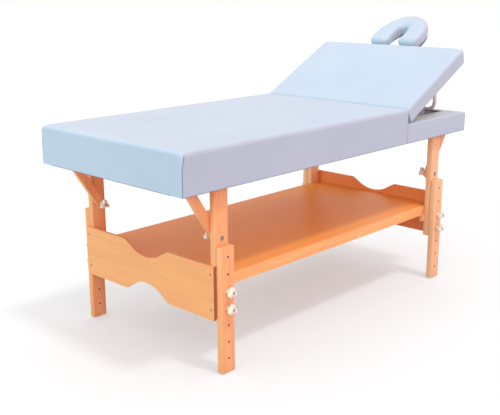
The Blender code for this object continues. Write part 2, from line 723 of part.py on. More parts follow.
def end_panel(end, toward, face):
    half = LEG_OUTER
    dip = [(y, PANEL_TOP - depth) for y, depth in waisted_edge(PANEL_DIP_HALF, PANEL_DIP_DEPTH)]
    arch = [(y, PANEL_BOTTOM + rise) for y, rise in waisted_edge(PANEL_ARCH_HALF, PANEL_ARCH_HEIGHT)]
    right = [(half, PANEL_TOP), *dip, (0.0, PANEL_TOP - PANEL_DIP_DEPTH)]
    left = [(-y, z) for y, z in reversed(right[:-1])]
    low_left = [(-y, z) for y, z in ((half, PANEL_BOTTOM), *arch)]
    low_right = [(-y, z) for y, z in reversed(low_left)]
    points = right + left + low_left + [(0.0, PANEL_BOTTOM + PANEL_ARCH_HEIGHT)] + low_right
    place = face + toward * (SEAT_GAP + PANEL_THICKNESS / 2)
    profile_piece(f"end_panel_{end}", points, PANEL_THICKNESS, UPRIGHT_ALONG_Y, PINE,
                  location=(place, 0.0, 0.0))


def shelf_rail_outline(sign):
    """Section of a shelf rail in Y and Z, with the rebate that takes the shelf board."""
    inner = BRACE_OUTER - SHELF_RAIL_THICKNESS
    step = inner + SHELF_REBATE
    ledge = SHELF_TOP - SHELF_BOARD_THICKNESS - SEAT_GAP
    points = [(inner, SHELF_RAIL_BOTTOM), (BRACE_OUTER, SHELF_RAIL_BOTTOM), (BRACE_OUTER, SHELF_TOP),
              (step, SHELF_TOP), (step, ledge), (inner, ledge)]
    return [(sign * y, z) for y, z in points]


def shelf():
    length = HEAD_LEG_FACE - FOOT_LEG_FACE
    middle = (HEAD_LEG_FACE + FOOT_LEG_FACE) / 2
    for side, sign in (("left", 1), ("right", -1)):
        profile_piece(f"shelf_rail_{side}", shelf_rail_outline(sign), length, UPRIGHT_ALONG_Y, PINE,
                      location=(middle, 0.0, 0.0))
    half = BRACE_OUTER - SHELF_RAIL_THICKNESS + SHELF_REBATE - SEAT_GAP
    board("shelf_board", (FOOT_LEG_FACE, -half, SHELF_TOP - SHELF_BOARD_THICKNESS),
          (HEAD_LEG_FACE, half, SHELF_TOP))


def brace_bolt(name, sign, middle):
    """Bolt through leg and brace, its head let into the upper leg's outer face."""
    length = UPPER_LEG_THICKNESS + SEAT_GAP + BRACE_THICKNESS + KNOB_SOCKET_DEPTH
    bm = bmesh.new()
    spun(bm, headed(length, BRACE_BOLT_RADIUS, BRACE_HEAD_RADIUS, BRACE_HEAD_DEPTH),
         (middle, sign * LEG_OUTER, BRACE_BOLT_HEIGHT), (0.0, -sign, 0.0))
    add_piece(f"brace_bolt_{name}", mesh_from(bm, "brace_bolt"), PLATED_STEEL)


def knob_head():
    """Three-lobed head of a knob, standing on its hub along +Y."""
    points = []
    for number in range(KNOB_STEPS):
        angle = math.tau * number / KNOB_STEPS
        radius = KNOB_RADIUS + KNOB_LOBE * math.cos(KNOB_LOBES * angle)
        points.append((radius * math.sin(angle), radius * math.cos(angle)))
    lift = Matrix.Translation((0.0, KNOB_HUB_HEIGHT + KNOB_THICKNESS / 2, 0.0))
    outline = outline_curve("knob_head", points, KNOB_THICKNESS)
    head = add_piece("knob_head", whole_caps(mesh_of(outline, lift @ UPRIGHT_ALONG_X)), KNOB_PLASTIC)
    round_edges(head, KNOB_EDGE).angle_limit = RIM_ANGLE
    return head


def knob_mesh(stud):
    """A knob standing along +Y: its head joined to its hub, with either a stud or a socket for a bolt."""
    head = knob_head()
    whole = KNOB_HUB_HEIGHT + KNOB_THICKNESS
    profile = [(0.0, 0.0), (0.0, KNOB_HUB_RADIUS), (whole / 2, KNOB_HUB_RADIUS), (whole / 2, 0.0)]
    if stud:
        profile = [(-stud, 0.0), (-stud, CLAMP_STUD_RADIUS), (0.0, CLAMP_STUD_RADIUS)] + profile[1:]
    hub = bmesh.new()
    spun(hub, profile, (0.0, 0.0, 0.0), (0.0, 1.0, 0.0))
    union(head, cutter("knob_hub", hub))
    room = bmesh.new()
    spun(room, plain(whole - KNOB_RECESS, whole + CUT_OVERRUN, KNOB_RECESS_RADIUS), (0.0, 0.0, 0.0),
         (0.0, 1.0, 0.0))
    if not stud:
        spun(room, plain(-CUT_OVERRUN, KNOB_SOCKET_DEPTH, KNOB_SOCKET_RADIUS), (0.0, 0.0, 0.0),
             (0.0, 1.0, 0.0))
    cut(head, cutter("knob_room", room))
    TABLE.objects.unlink(head)
    return mesh_of(head)


def knobs():
    """Two knobs on each leg extension's outer face and one on each brace's inner face."""
    with_stud = knob_mesh(EXTENSION_THICKNESS + SEAT_GAP)
    with_socket = knob_mesh(0.0)
    for name, sign, _, _, middle in leg_stations():
        outer = sign * (EXTENSION_OUTER + SEAT_GAP)
        inner = sign * (BRACE_INNER - SEAT_GAP)
        places = [(f"brace_knob_{name}", with_socket, -sign, (middle, inner, BRACE_BOLT_HEIGHT))]
        for label, number in zip(("low", "high"), CLAMPED_HOLES):
            height = hole_height(number)
            places.append((f"leg_knob_{label}_{name}", with_stud, sign, (middle, outer, height)))
        for label, mesh, facing, location in places:
            knob = add_piece(label, mesh, KNOB_PLASTIC, location=location)
            knob.rotation_euler = (0.0, 0.0, 0.0 if facing > 0 else math.pi)


def hinge_knuckles(bm, first, bore):
    """Every second knuckle of the hinge, starting with the given one."""
    pitch = 2 * HINGE_HALF_WIDTH / HINGE_KNUCKLES
    for number in range(first, HINGE_KNUCKLES, 2):
        start = -HINGE_HALF_WIDTH + pitch * number + HINGE_SIDE_PLAY
        end = start + pitch - 2 * HINGE_SIDE_PLAY
        profile = [(start, bore), (start, HINGE_KNUCKLE_RADIUS), (end, HINGE_KNUCKLE_RADIUS), (end, bore)]
        if bore:
            profile.append(profile[0])
        spun(bm, profile, (0.0, 0.0, 0.0), (0.0, 1.0, 0.0), HINGE_STEPS)


def hinge_comb(first):
    """Outline of a leaf in Y and Z: it reaches the axis only where it carries its own knuckles."""
    pitch = 2 * HINGE_HALF_WIDTH / HINGE_KNUCKLES
    clear = -HINGE_KNUCKLE_RADIUS - HINGE_SIDE_PLAY
    points = [(-HINGE_HALF_WIDTH, -HINGE_LEAF_HEIGHT), (HINGE_HALF_WIDTH, -HINGE_LEAF_HEIGHT),
              (HINGE_HALF_WIDTH, clear)]
    own = [number for number in range(HINGE_KNUCKLES) if number % 2 == first]
    for number in reversed(own):
        start = -HINGE_HALF_WIDTH + pitch * number + HINGE_SIDE_PLAY
        end = start + pitch - 2 * HINGE_SIDE_PLAY
        points += [(end, clear), (end, 0.0), (start, 0.0), (start, clear)]
    return points + [(-HINGE_HALF_WIDTH, clear)]


def hinge_leaf(name, sign, first, parent, location):
    """One leaf of the long hinge, hanging below the axis, with its knuckles; the seat's holds the pin."""
    middle = sign * (HINGE_KNUCKLE_RADIUS - HINGE_LEAF / 2)
    turn = Matrix.Translation((middle, 0.0, 0.0)) @ UPRIGHT_ALONG_Y
    piece = profile_piece(name, hinge_comb(first), HINGE_LEAF, turn, PLATED_STEEL, parent, location)
    rolled = bmesh.new()
    holds_pin = sign < 0
    hinge_knuckles(rolled, first, 0.0 if holds_pin else HINGE_PIN_RADIUS + HINGE_PIN_PLAY)
    if holds_pin:
        end = HINGE_HALF_WIDTH - HINGE_SIDE_PLAY * 2
        spun(rolled, plain(-end, end, HINGE_PIN_RADIUS), (0.0, 0.0, 0.0), (0.0, 1.0, 0.0), HINGE_STEPS)
    tool = cutter(name + "_knuckles", rolled, parent)
    tool.location = location
    union(piece, tool)


def backrest_pieces(hinge):
    """Board, foam and cover, modelled lying flat about the hinge axis."""
    start = HINGE_CLEARANCE
    end = BACKREST_END - HINGE_X
    bottom = BACKREST_BOTTOM - HINGE_Z
    top = TOP_HEIGHT - HINGE_Z
    board_top = bottom + BACKREST_BOARD_THICKNESS
    panel = board("backrest_board", (start + SKIN, -RAIL_OUTER, bottom), (end - SKIN, RAIL_OUTER, board_top),
                  PLYWOOD, RAIL_EDGE, 3, hinge)
    rods = bmesh.new()
    for sign in (-1, 1):
        centre = (end, sign * CRADLE_ROD_PLACE, rod_height())
        spun(rods, plain(-CRADLE_ROD_INSIDE - CUT_OVERRUN, CUT_OVERRUN, CRADLE_ROD_RADIUS + CRADLE_ROD_PLAY),
             centre, (1.0, 0.0, 0.0))
    cut(panel, cutter("cradle_rod_bores", rods, hinge))
    bm = upholstered_block((start + SKIN, -RAIL_OUTER, board_top + SEAT_GAP), (end - SKIN, RAIL_OUTER,
                           top - SKIN), -1, SKIN, BACKREST_LEAN)
    foam = add_piece("backrest_foam", mesh_from(bm, "backrest_foam"), FOAM_LOOK, hinge)
    round_edges(foam, HINGE_ROUND - SKIN, ROUND_STEPS, by_weight=True)
    bm = upholstered_block((start, -HALF_WIDTH, bottom), (end, HALF_WIDTH, top), -1, 0.0, BACKREST_LEAN)
    bmesh.ops.delete(bm, geom=faces_along(bm, 2, -1), context="FACES")
    cover = skin_shell("backrest_cover", bm, HINGE_ROUND, hinge)
    bores = bmesh.new()
    for sign in (-1, 1):
        centre = (end, sign * CRADLE_ROD_PLACE, rod_height())
        reach = BACKREST_LEAN + CUT_OVERRUN
        spun(bores, plain(-reach, reach, CRADLE_ROD_RADIUS + CRADLE_ROD_PLAY), centre, (1.0, 0.0, 0.0))
    cut(cover, cutter("cradle_rod_eyelets", bores, hinge))


def rod_height():
    """Height of the cradle rods' axis, in the middle of the backrest board, about the hinge."""
    return BACKREST_BOTTOM + BACKREST_BOARD_THICKNESS / 2 - HINGE_Z


def tube_mesh(name, points, radius, resolution=3):
    curve = bpy.data.curves.new(name, "CURVE")
    curve.dimensions = "3D"
    curve.bevel_depth = radius
    curve.bevel_resolution = resolution
    curve.use_fill_caps = True
    spline = curve.splines.new("POLY")
    spline.points.add(len(points) - 1)
    for point, place in zip(spline.points, points):
        point.co = (*place, 1.0)
    return mesh_of(bpy.data.objects.new(name, curve))


def bar_route():
    """The bar's line, folded flat: from one pivot towards -X, round both corners, back to the other."""
    corner_x = -BAR_LENGTH + BAR_BEND
    corner_y = BAR_HALF_WIDTH - BAR_BEND
    half_route = [(BAR_TIP, BAR_HALF_WIDTH, 0.0)]
    for number in range(BAR_BEND_STEPS + 1):
        angle = math.pi / 2 * number / BAR_BEND_STEPS
        x = corner_x - BAR_BEND * math.sin(angle)
        half_route.append((x, corner_y + BAR_BEND * math.cos(angle), 0.0))
    return half_route + [(x, -y, z) for x, y, z in reversed(half_route)]


def support_bar(pivot):
    mesh = tube_mesh("support_bar", bar_route(), BAR_RADIUS)
    bar = add_piece("support_bar", mesh, PAINTED_STEEL, pivot)
    bm = bmesh.new()
    reach = BAR_HALF_WIDTH + BAR_RADIUS + CUT_OVERRUN
    short = BAR_HALF_WIDTH - BAR_RADIUS - CUT_OVERRUN
    for sign in (-1, 1):
        spun(bm, plain(short, reach, BAR_PIN_RADIUS + BAR_PIN_PLAY), (0.0, 0.0, 0.0), (0.0, sign, 0.0))
    cut(bar, cutter("bar_pin_holes", bm, pivot))


def bar_bracket(side, sign, hinge, pivot_place):
    """Angle bracket under the backrest board with the pin that the bar turns on."""
    under = BACKREST_BOTTOM - HINGE_Z - SEAT_GAP
    ear_inner = BAR_HALF_WIDTH + BAR_RADIUS + BRACKET_PLAY
    ear_outer = ear_inner + BRACKET_PLATE
    half = BRACKET_WIDTH / 2
    start_x, end_x = pivot_place[0] - half, pivot_place[0] + half
    low_y, high_y = across(sign, ear_inner, ear_outer)
    name = f"bar_bracket_{side}"
    bracket = board(name, (start_x, low_y, pivot_place[2] - BRACKET_LIP), (end_x, high_y, under),
                    PLATED_STEEL, parent=hinge)
    low_y, high_y = across(sign, ear_inner - BRACKET_FLANGE, ear_inner + BRACKET_PLATE / 2)
    flange = box_bmesh((start_x, low_y, under - BRACKET_PLATE), (end_x, high_y, under))
    union(bracket, cutter(name + "_flange", flange, hinge))
    pin = bmesh.new()
    spun(pin, plain(BAR_HALF_WIDTH - BAR_RADIUS - BRACKET_PLAY, ear_inner + BRACKET_PLATE / 2,
                    BAR_PIN_RADIUS), pivot_place, (0.0, sign, 0.0))
    union(bracket, cutter(name + "_pin", pin, hinge))


def arc(centre, radius, first, last, steps):
    """Points along a circle in plan, from one angle in degrees to another."""
    turns = [math.radians(first + (last - first) * number / steps) for number in range(steps + 1)]
    return [(centre[0] + radius * math.cos(turn), centre[1] + radius * math.sin(turn)) for turn in turns]


def ellipse(centre, half_length, half_width, start):
    """Points round an ellipse in plan, from its left side at X = start over its far end to the right."""
    last = math.acos((start - centre) / half_length)
    turns = [last * (1 - 2 * number / CRADLE_STEPS) for number in range(CRADLE_STEPS + 1)]
    return [(centre + half_length * math.cos(turn), half_width * math.sin(turn)) for turn in turns]


def horseshoe(setback):
    """Outline of the face cradle in X and Y, open towards the backrest, drawn in by a setback."""
    corner_x = CRADLE_START + CRADLE_TIP_ROUND
    tip = CRADLE_TIP_ROUND - setback
    outer = ellipse(CRADLE_CENTRE, CRADLE_HALF_LENGTH - setback, CRADLE_HALF_WIDTH - setback, corner_x)
    inner = ellipse(CRADLE_HOLE_CENTRE, CRADLE_HOLE_HALF_LENGTH + setback,
                    CRADLE_HOLE_HALF_WIDTH + setback, corner_x)
    outside, inside = outer[0][1] - tip, inner[0][1] + tip
    right_tip = arc((corner_x, -outside), tip, 270, 180, CRADLE_TIP_STEPS)
    right_tip += arc((corner_x, -inside), tip, 180, 90, CRADLE_TIP_STEPS)
    left_tip = [(x, -y) for x, y in reversed(right_tip)]
    return outer[:-1] + right_tip + inner[-2:0:-1] + left_tip[:-1]


def rim(radius, segments):
    """Setback and distance from the flat face, along a rounded rim, from the flat face to the side."""
    turns = [math.pi / 2 * number / segments for number in range(segments + 1)]
    return [(radius * (1 - math.sin(turn)), radius * (1 - math.cos(turn))) for turn in turns]


def cradle_slab(name, setback, low, high, look, parent, low_rim, high_rim):
    """A horseshoe slab between two heights, with rounded rims."""
    rings = [(setback + inward, low + away) for inward, away in low_rim]
    rings += [(setback + inward, high - away) for inward, away in reversed(high_rim)]
    bm = bmesh.new()
    loops = [[bm.verts.new((x, y, z)) for x, y in horseshoe(inward)] for inward, z in rings]
    for lower, upper in zip(loops, loops[1:]):
        for number, vert in enumerate(lower):
            bm.faces.new((lower[number - 1], vert, upper[number], upper[number - 1]))
    for cap in (loops[0], loops[-1]):
        bm.faces.new(cap)
    bmesh.ops.recalc_face_normals(bm, faces=bm.faces)
    return add_piece(name, mesh_from(bm, name), look, parent)


def face_cradle(hinge):
    """Horseshoe pad on its plate, carried by two rods that slide in the backrest board."""
    end = BACKREST_END + BACKREST_LEAN - HINGE_X
    slide = empty("cradle_slide", (end, 0.0, 0.0), hinge)
    height = rod_height()
    plate_low = height + CRADLE_ROD_RADIUS + SEAT_GAP
    plate_top = plate_low + CRADLE_PLATE_THICKNESS
    pad_low = plate_top + SEAT_GAP
    top = TOP_HEIGHT - HINGE_Z + CRADLE_LIFT
    cradle_slab("cradle_pad", 0.0, pad_low, top, VINYL_LOOK, slide, rim(CRADLE_PAD_FOOT_ROUND, 2),
                rim(CRADLE_PAD_ROUND, ROUND_STEPS))
    plate_rim = rim(DECK_EDGE, 1)
    cradle_slab("cradle_plate", CRADLE_PLATE_SETBACK, plate_low, plate_top, PLYWOOD, slide, plate_rim,
                plate_rim)
    inside = CRADLE_ROD_INSIDE + BACKREST_LEAN
    for side, sign in (("left", 1), ("right", -1)):
        rod = bmesh.new()
        spun(rod, plain(-inside, CRADLE_ROD_OUTSIDE, CRADLE_ROD_RADIUS),
             (0.0, sign * CRADLE_ROD_PLACE, height), (1.0, 0.0, 0.0))
        add_piece(f"cradle_rod_{side}", mesh_from(rod, "cradle_rod"), PLATED_STEEL, slide)


def backrest():
    axis = (HINGE_X, 0.0, HINGE_Z)
    hinge = empty("backrest_hinge", axis, ORIGIN, RECLINE_ANGLE)
    backrest_pieces(hinge)
    hinge_leaf("hinge_leaf_seat", -1, 0, ORIGIN, axis)
    hinge_leaf("hinge_leaf_backrest", 1, 1, hinge, (0.0, 0.0, 0.0))
    pivot_place = (BAR_PIVOT_REACH, 0.0, BAR_PIVOT_Z - HINGE_Z)
    for side, sign in (("left", 1), ("right", -1)):
        bar_bracket(side, sign, hinge, pivot_place)
    support_bar(empty("support_bar_pivot", pivot_place, hinge, BAR_OPEN_ANGLE))
    face_cradle(hinge)


def legs():
    for name, sign, toward, face, middle in leg_stations():
        upper_leg(name, sign, toward, face, middle)
        leg_extension(name, sign, middle)
        brace(name, sign, toward, middle)
        brace_bolt(name, sign, middle)
    end_panel("foot", -1, FOOT_LEG_FACE)
    end_panel("head", 1, HEAD_LEG_FACE)


def centre_over_origin():
    """Move the whole table along X so that the middle of its bounding box stands over the origin."""
    bpy.context.view_layer.update()
    graph = bpy.context.evaluated_depsgraph_get()
    places = []
    for piece in TABLE.objects:
        if piece.type == "MESH":
            solid = piece.evaluated_get(graph).data
            places += [(piece.matrix_world @ vert.co).x for vert in solid.vertices]
    ORIGIN.location.x = -(min(places) + max(places)) / 2


def shade():
    """Round pieces are shaded smooth up to their sharp edges."""
    for piece in TABLE.objects:
        if piece.type == "MESH":
            piece.data.shade_smooth()
            piece.data.set_sharp_from_angle(angle=math.radians(35.0))


side_rails()
cross_rails()
seat_deck()
seat_foam()
seat_cover()
head_border()
head_cover()
well_floor()
racks()
legs()
shelf()
knobs()
backrest()
shade()
centre_over_origin()
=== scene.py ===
"""Reclining massage table, dressed for its picture: upholstery, pine, knobs and studio light."""
import json
import math

import bmesh
import bpy
from mathutils import Matrix, Quaternion, Vector, noise
from mathutils.kdtree import KDTree


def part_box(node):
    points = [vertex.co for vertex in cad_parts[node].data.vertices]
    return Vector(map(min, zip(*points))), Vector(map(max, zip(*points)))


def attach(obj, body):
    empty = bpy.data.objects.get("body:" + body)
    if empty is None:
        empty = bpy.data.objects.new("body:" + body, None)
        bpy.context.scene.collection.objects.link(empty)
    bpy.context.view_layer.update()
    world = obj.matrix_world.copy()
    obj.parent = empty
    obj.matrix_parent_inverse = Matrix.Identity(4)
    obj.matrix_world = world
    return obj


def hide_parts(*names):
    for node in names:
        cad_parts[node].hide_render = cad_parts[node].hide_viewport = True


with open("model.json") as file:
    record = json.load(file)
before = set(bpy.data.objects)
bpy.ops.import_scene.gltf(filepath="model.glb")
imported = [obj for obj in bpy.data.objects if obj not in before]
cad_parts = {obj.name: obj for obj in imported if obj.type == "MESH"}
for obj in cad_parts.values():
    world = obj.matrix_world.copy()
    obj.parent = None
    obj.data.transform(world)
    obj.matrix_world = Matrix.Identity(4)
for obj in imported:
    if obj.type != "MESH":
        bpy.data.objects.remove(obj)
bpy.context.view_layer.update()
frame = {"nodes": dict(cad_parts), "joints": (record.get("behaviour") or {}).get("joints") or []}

MM = 0.001

# Camera that took the photograph; the aim is a direction, the roll is in degrees
LENS = 59.39
SENSOR = 36.0
CAMERA_FROM_HINGE = (-3.1285, -2.4369, 0.5677)
CAMERA_AIM = (0.6968, 0.6681, -0.2610)
CAMERA_ROLL = -0.21

# Places of the main pieces, from the frame
SEAT_LOW, SEAT_HIGH = (Vector(corner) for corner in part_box("seat_cover"))
HEAD_LOW, HEAD_HIGH = (Vector(corner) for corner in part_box("head_cover"))
FRAME_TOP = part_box("side_rail_left")[1][2]
WELL_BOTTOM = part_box("well_floor")[1][2]
JOINTS = {joint["name"]: joint for joint in frame["joints"]}
RECLINE = JOINTS["backrest_recline"]
HINGE = Vector(RECLINE["pos_m"])
RECLINE_ANGLE = -math.radians(RECLINE["range_deg"][0])
RAISE = (Matrix.Translation(HINGE) @ Matrix.Rotation(-RECLINE_ANGLE, 4, "Y")
         @ Matrix.Translation(-HINGE))
HALF_WIDTH = SEAT_HIGH.y
TOP = SEAT_HIGH.z

# Pads: vinyl, roundings, rise of the filled top and its drop towards the free corners
VINYL = 1.4 * MM
SIDE_ROUND = 14 * MM
HINGE_ROUND = 27 * MM
BACKREST_END_ROUND = 7 * MM
CORNER_ROUND = 6 * MM
TOP_RISE = 3.5 * MM
CORNER_DROP = 4.0 * MM
CORNER_REACH = 70 * MM
FILL_FADE = 40 * MM
GRID_PITCH = 22 * MM
HINGE_ROOM = HINGE.x - SEAT_HIGH.x
BACKREST_BOTTOM = HEAD_HIGH.z + 2 * MM
BACKREST_END = HEAD_HIGH.x + 2 * MM
BACKREST_LEAN = 20 * MM
LEAN_REACH = 60 * MM

# Filling: the cloth simulation's mesh, pressure, limit and length, and the vinyl's unevenness
PAD_VOXEL = 9 * MM
PAD_PRESSURE = 4.0
CUSHION_VOXEL = 5 * MM
CUSHION_PRESSURE = 5.0
PUFF = 4.0 * MM
SETTLE_FRAMES = 20
RIPPLE_DEPTH = 0.9 * MM
RIPPLE_LENGTH = 150 * MM
FACE_HOLE_BULGE = 9 * MM

# Head section and its well; the lining ends a little above the well's floor
HEAD_ROUND = 7 * MM
WELL_ROUND = 4 * MM
LINING_GAP = 0.5 * MM

# Seams: lean of the foot corners' upper part, and where a fold turns the corner
SEAM_LEAN = 10 * MM
SEAM_LEAN_REACH = 55 * MM
SEAM_RADIUS = 1.0 * MM
SEAM_STEPS = 16
FOLD_CORNER = 5 * MM
FOLD_STEPS = 12

# Panel screws: head and cross recess, place from the panel's edges, turn in radians
SCREW_RADIUS = 4.2 * MM
SCREW_HEAD = 1.2 * MM
CROSS_HALF_WIDTH = 0.6 * MM
CROSS_HALF_LENGTH = 2.4 * MM
CROSS_DEPTH = 0.8 * MM
SCREW_FROM_SIDE = 16 * MM
SCREW_FROM_BOTTOM = 40 * MM
SCREW_FROM_TOP = 32 * MM
SCREW_SUNK = 0.45 * MM
SCREW_TURN = 0.4

# Nuts on the knobs, with the bolt's end in them
NUT_RADIUS = 5.4 * MM
NUT_HEIGHT = 3.0 * MM
NUT_SUNK = 2.2 * MM
NUT_TURN = 0.3
BOLT_RISE = 1.6 * MM
BOLT_RIM = 1.6 * MM

# Wood: run of a growth line, width and run of a broad streak, how far a bore reaches from the
# middle of its board, the painted shade in the bores, and end grain with the painted shade of
# the gap beside the legs at the ends
LINE_RUN = 260 * MM
BROAD_WIDTH = 45 * MM
BROAD_RUN = 700 * MM
BORE_REACH = 8 * MM
BORE_SHADE_COLOUR = "54331F"
END_GRAIN_AND_SHADE_COLOUR = "A5653C"

# Vinyl: its tone drifts over about 290 mm
CLOUD_SCALE = 3.5

# Solids: points closer than this are one, and the sharpest angle in degrees of a round surface
WELD_GAP = 0.02 * MM
ROUND_ANGLE = 32.0

# Studio: floor with a faint glow of its own, light all round, and lamps with the way that each
# shines, its spread in degrees, its strength and its colour
FLOOR_SPAN = 40.0
FLOOR_GAP = 0.5 * MM
FLOOR_GLOW = (0.96, 1.0, 1.0, 1.0)
FLOOR_GLOW_STRENGTH = 0.40
WORLD_STRENGTH = 0.90
LAMPS = (
    ("key_screen", (-0.05, 0.40, -1.0), 8.0, 0.32, "F8FFFF"),
    ("overhead_screen", (0.0, 0.0, -1.0), 90.0, 0.17, "F8FFFF"),
    ("foot_end_screen", (1.0, -0.05, -0.12), 45.0, 0.58, "9FFAFF"),
    ("front_screen", (0.3, 1.0, -0.35), 50.0, 0.20, "FFBCD7"),
)

# Numbers of a Mix node's colour sockets, which share their names with others
MIX_FACTOR, MIX_A, MIX_B, MIX_RESULT = 0, 6, 7, 2

WHITE = (1.0, 1.0, 1.0, 1.0)
BLACK = (0.0, 0.0, 0.0, 1.0)


# Modelling

def bare():
    """Nothing selected, nothing in edit mode."""
    if bpy.context.object and bpy.context.object.mode != "OBJECT":
        bpy.ops.object.mode_set(mode="OBJECT")
    bpy.ops.object.select_all(action="DESELECT")


def only(piece):
    """This piece alone selected, and active."""
    bare()
    piece.select_set(True)
    bpy.context.view_layer.objects.active = piece


def named(name):
    """The primitive just added, with its place in its mesh."""
    piece = bpy.context.object
    piece.name = name
    piece.data.name = name
    bpy.ops.object.transform_apply(location=True, rotation=True, scale=True)
    return piece


def linked(name, data):
    """A new object in the scene."""
    piece = bpy.data.objects.new(name, data)
    bpy.context.scene.collection.objects.link(piece)
    return piece


def block(name, low, high):
    """A box between two corners."""
    bare()
    low, high = Vector(low), Vector(high)
    bpy.ops.mesh.primitive_cube_add(size=1, location=(low + high) / 2, scale=high - low)
    return named(name)


def pick(piece, kind, wanted):
    """Selects in edit mode the faces or edges for which wanted(middle, direction) holds."""
    only(piece)
    bpy.ops.object.mode_set(mode="EDIT")
    bpy.ops.mesh.select_all(action="DESELECT")
    bm = bmesh.from_edit_mesh(piece.data)
    if kind == "faces":
        bpy.ops.mesh.select_mode(type="FACE")
        for face in bm.faces:
            face.select_set(wanted(face.calc_center_median(), face.normal))
    else:
        bpy.ops.mesh.select_mode(type="EDGE")
        for edge in bm.edges:
            first, second = (vert.co for vert in edge.verts)
            edge.select_set(wanted((first + second) / 2, (second - first).normalized()))
    bm.select_flush_mode()
    bmesh.update_edit_mesh(piece.data)


def every(middle, direction):
    return True


def facing_up(middle, normal):
    return normal.z > 0.9


def level_above(height, beside=lambda middle: True):
    """Wanted edges: level ones above a height, at places for which beside(middle) holds."""
    return lambda middle, way: middle.z > height and abs(way.z) < 0.1 and beside(middle)


def bevel_edges(piece, wanted, width, segments):
    pick(piece, "edges", wanted)
    bpy.ops.mesh.bevel(offset=width, segments=segments, affect="EDGES")
    bpy.ops.object.mode_set(mode="OBJECT")


def drop_faces(piece, wanted):
    pick(piece, "faces", wanted)
    bpy.ops.mesh.delete(type="FACE")
    bpy.ops.object.mode_set(mode="OBJECT")


def cut_faces(piece, place, normal, wanted=every):
    """Cuts the wanted faces along a plane."""
    pick(piece, "faces", wanted)
    bpy.ops.mesh.bisect(plane_co=place, plane_no=normal)
    bpy.ops.object.mode_set(mode="OBJECT")


def raise_faces(piece, wanted, rise, inset=0.0):
    """Moves the wanted faces along Z, with walls that follow them."""
    pick(piece, "faces", wanted)
    if inset:
        bpy.ops.mesh.inset(thickness=inset)
    bpy.ops.mesh.extrude_region_move(TRANSFORM_OT_translate={"value": (0, 0, rise)})
    bpy.ops.object.mode_set(mode="OBJECT")


def applied(piece, kind, **settings):
    """Adds a modifier with its settings and applies it."""
    only(piece)
    modifier = piece.modifiers.new(kind.lower(), kind)
    for key, value in settings.items():
        setattr(modifier, key, value)
    bpy.ops.object.modifier_apply(modifier=modifier.name)


def smooth(piece, angle=40.0):
    """Smooth shading, with creases where faces meet at more than the angle in degrees."""
    only(piece)
    bpy.ops.object.shade_smooth_by_angle(angle=math.radians(angle))


def outward(piece):
    """Merges points that coincide and turns the normals out."""
    only(piece)
    bpy.ops.object.mode_set(mode="EDIT")
    bpy.ops.mesh.select_all(action="SELECT")
    bpy.ops.mesh.remove_doubles(threshold=0.05 * MM)
    bpy.ops.mesh.normals_make_consistent(inside=False)
    bpy.ops.object.mode_set(mode="OBJECT")


# Shaping of pads

def filling_moves(piece, voxel, pressure):
    """Start and move of each point of a fine copy that a cloth simulation presses out."""
    only(piece)
    bpy.ops.object.duplicate()
    copy = bpy.context.object
    applied(copy, "REMESH", mode="VOXEL", voxel_size=voxel)
    start = [vert.co.copy() for vert in copy.data.vertices]
    cloth = copy.modifiers.new("filling", "CLOTH")
    cloth.settings.use_pressure = True
    cloth.settings.uniform_pressure_force = pressure
    cloth.settings.effector_weights.gravity = 0.0
    cloth.point_cache.frame_start = 1
    cloth.point_cache.frame_end = SETTLE_FRAMES
    scene = bpy.context.scene
    for number in range(1, SETTLE_FRAMES + 1):
        scene.frame_set(number)
    graph = bpy.context.evaluated_depsgraph_get()
    moved = [vert.co.copy() for vert in copy.evaluated_get(graph).data.vertices]
    scene.frame_set(1)
    bpy.data.objects.remove(copy, do_unlink=True)
    return start, [new - old for old, new in zip(start, moved)]


def stuffed(piece, voxel, share, pressure):
    """Moves each point as the filling does, by PUFF at most; share(point) fades the move."""
    start, moves = filling_moves(piece, voxel, pressure)
    tree = KDTree(len(start))
    for number, place in enumerate(start):
        tree.insert(place, number)
    tree.balance()
    for vert in piece.data.vertices:
        near = tree.find_n(vert.co, 6)
        weights = [1.0 / (gap + voxel * 0.2) for _, _, gap in near]
        step = Vector()
        for (_, number, _), weight in zip(near, weights):
            step += moves[number] * weight
        step /= sum(weights)
        if step.length > PUFF:
            step *= PUFF / step.length
        vert.co += step * share(vert.co)


def ripple(piece, seed, share):
    """Shallow unevenness of vinyl drawn over foam."""
    offset = Vector((seed, seed * 0.37, seed * 0.71))
    normals = [vert.normal.copy() for vert in piece.data.vertices]
    for vert, normal in zip(piece.data.vertices, normals):
        height = noise.noise(vert.co / RIPPLE_LENGTH + offset)
        vert.co += normal * RIPPLE_DEPTH * share(vert.co) * height


def gridded(piece, low, high):
    """Cuts a piece along evenly spaced planes, so that it can bend."""
    for axis in range(3):
        count = max(1, round((high[axis] - low[axis]) / GRID_PITCH))
        for number in range(1, count):
            place, normal = [0.0] * 3, [0.0] * 3
            place[axis] = low[axis] + (high[axis] - low[axis]) * number / count
            normal[axis] = 1.0
            cut_faces(piece, place, normal)


def eased(share):
    """The share with a soft start and end."""
    return share * share * (3 - 2 * share)


def above(start, end):
    """A share that rises from nothing at height start to one at height end."""
    return lambda place: eased(min(1.0, max(0.0, (place.z - start) / (end - start))))


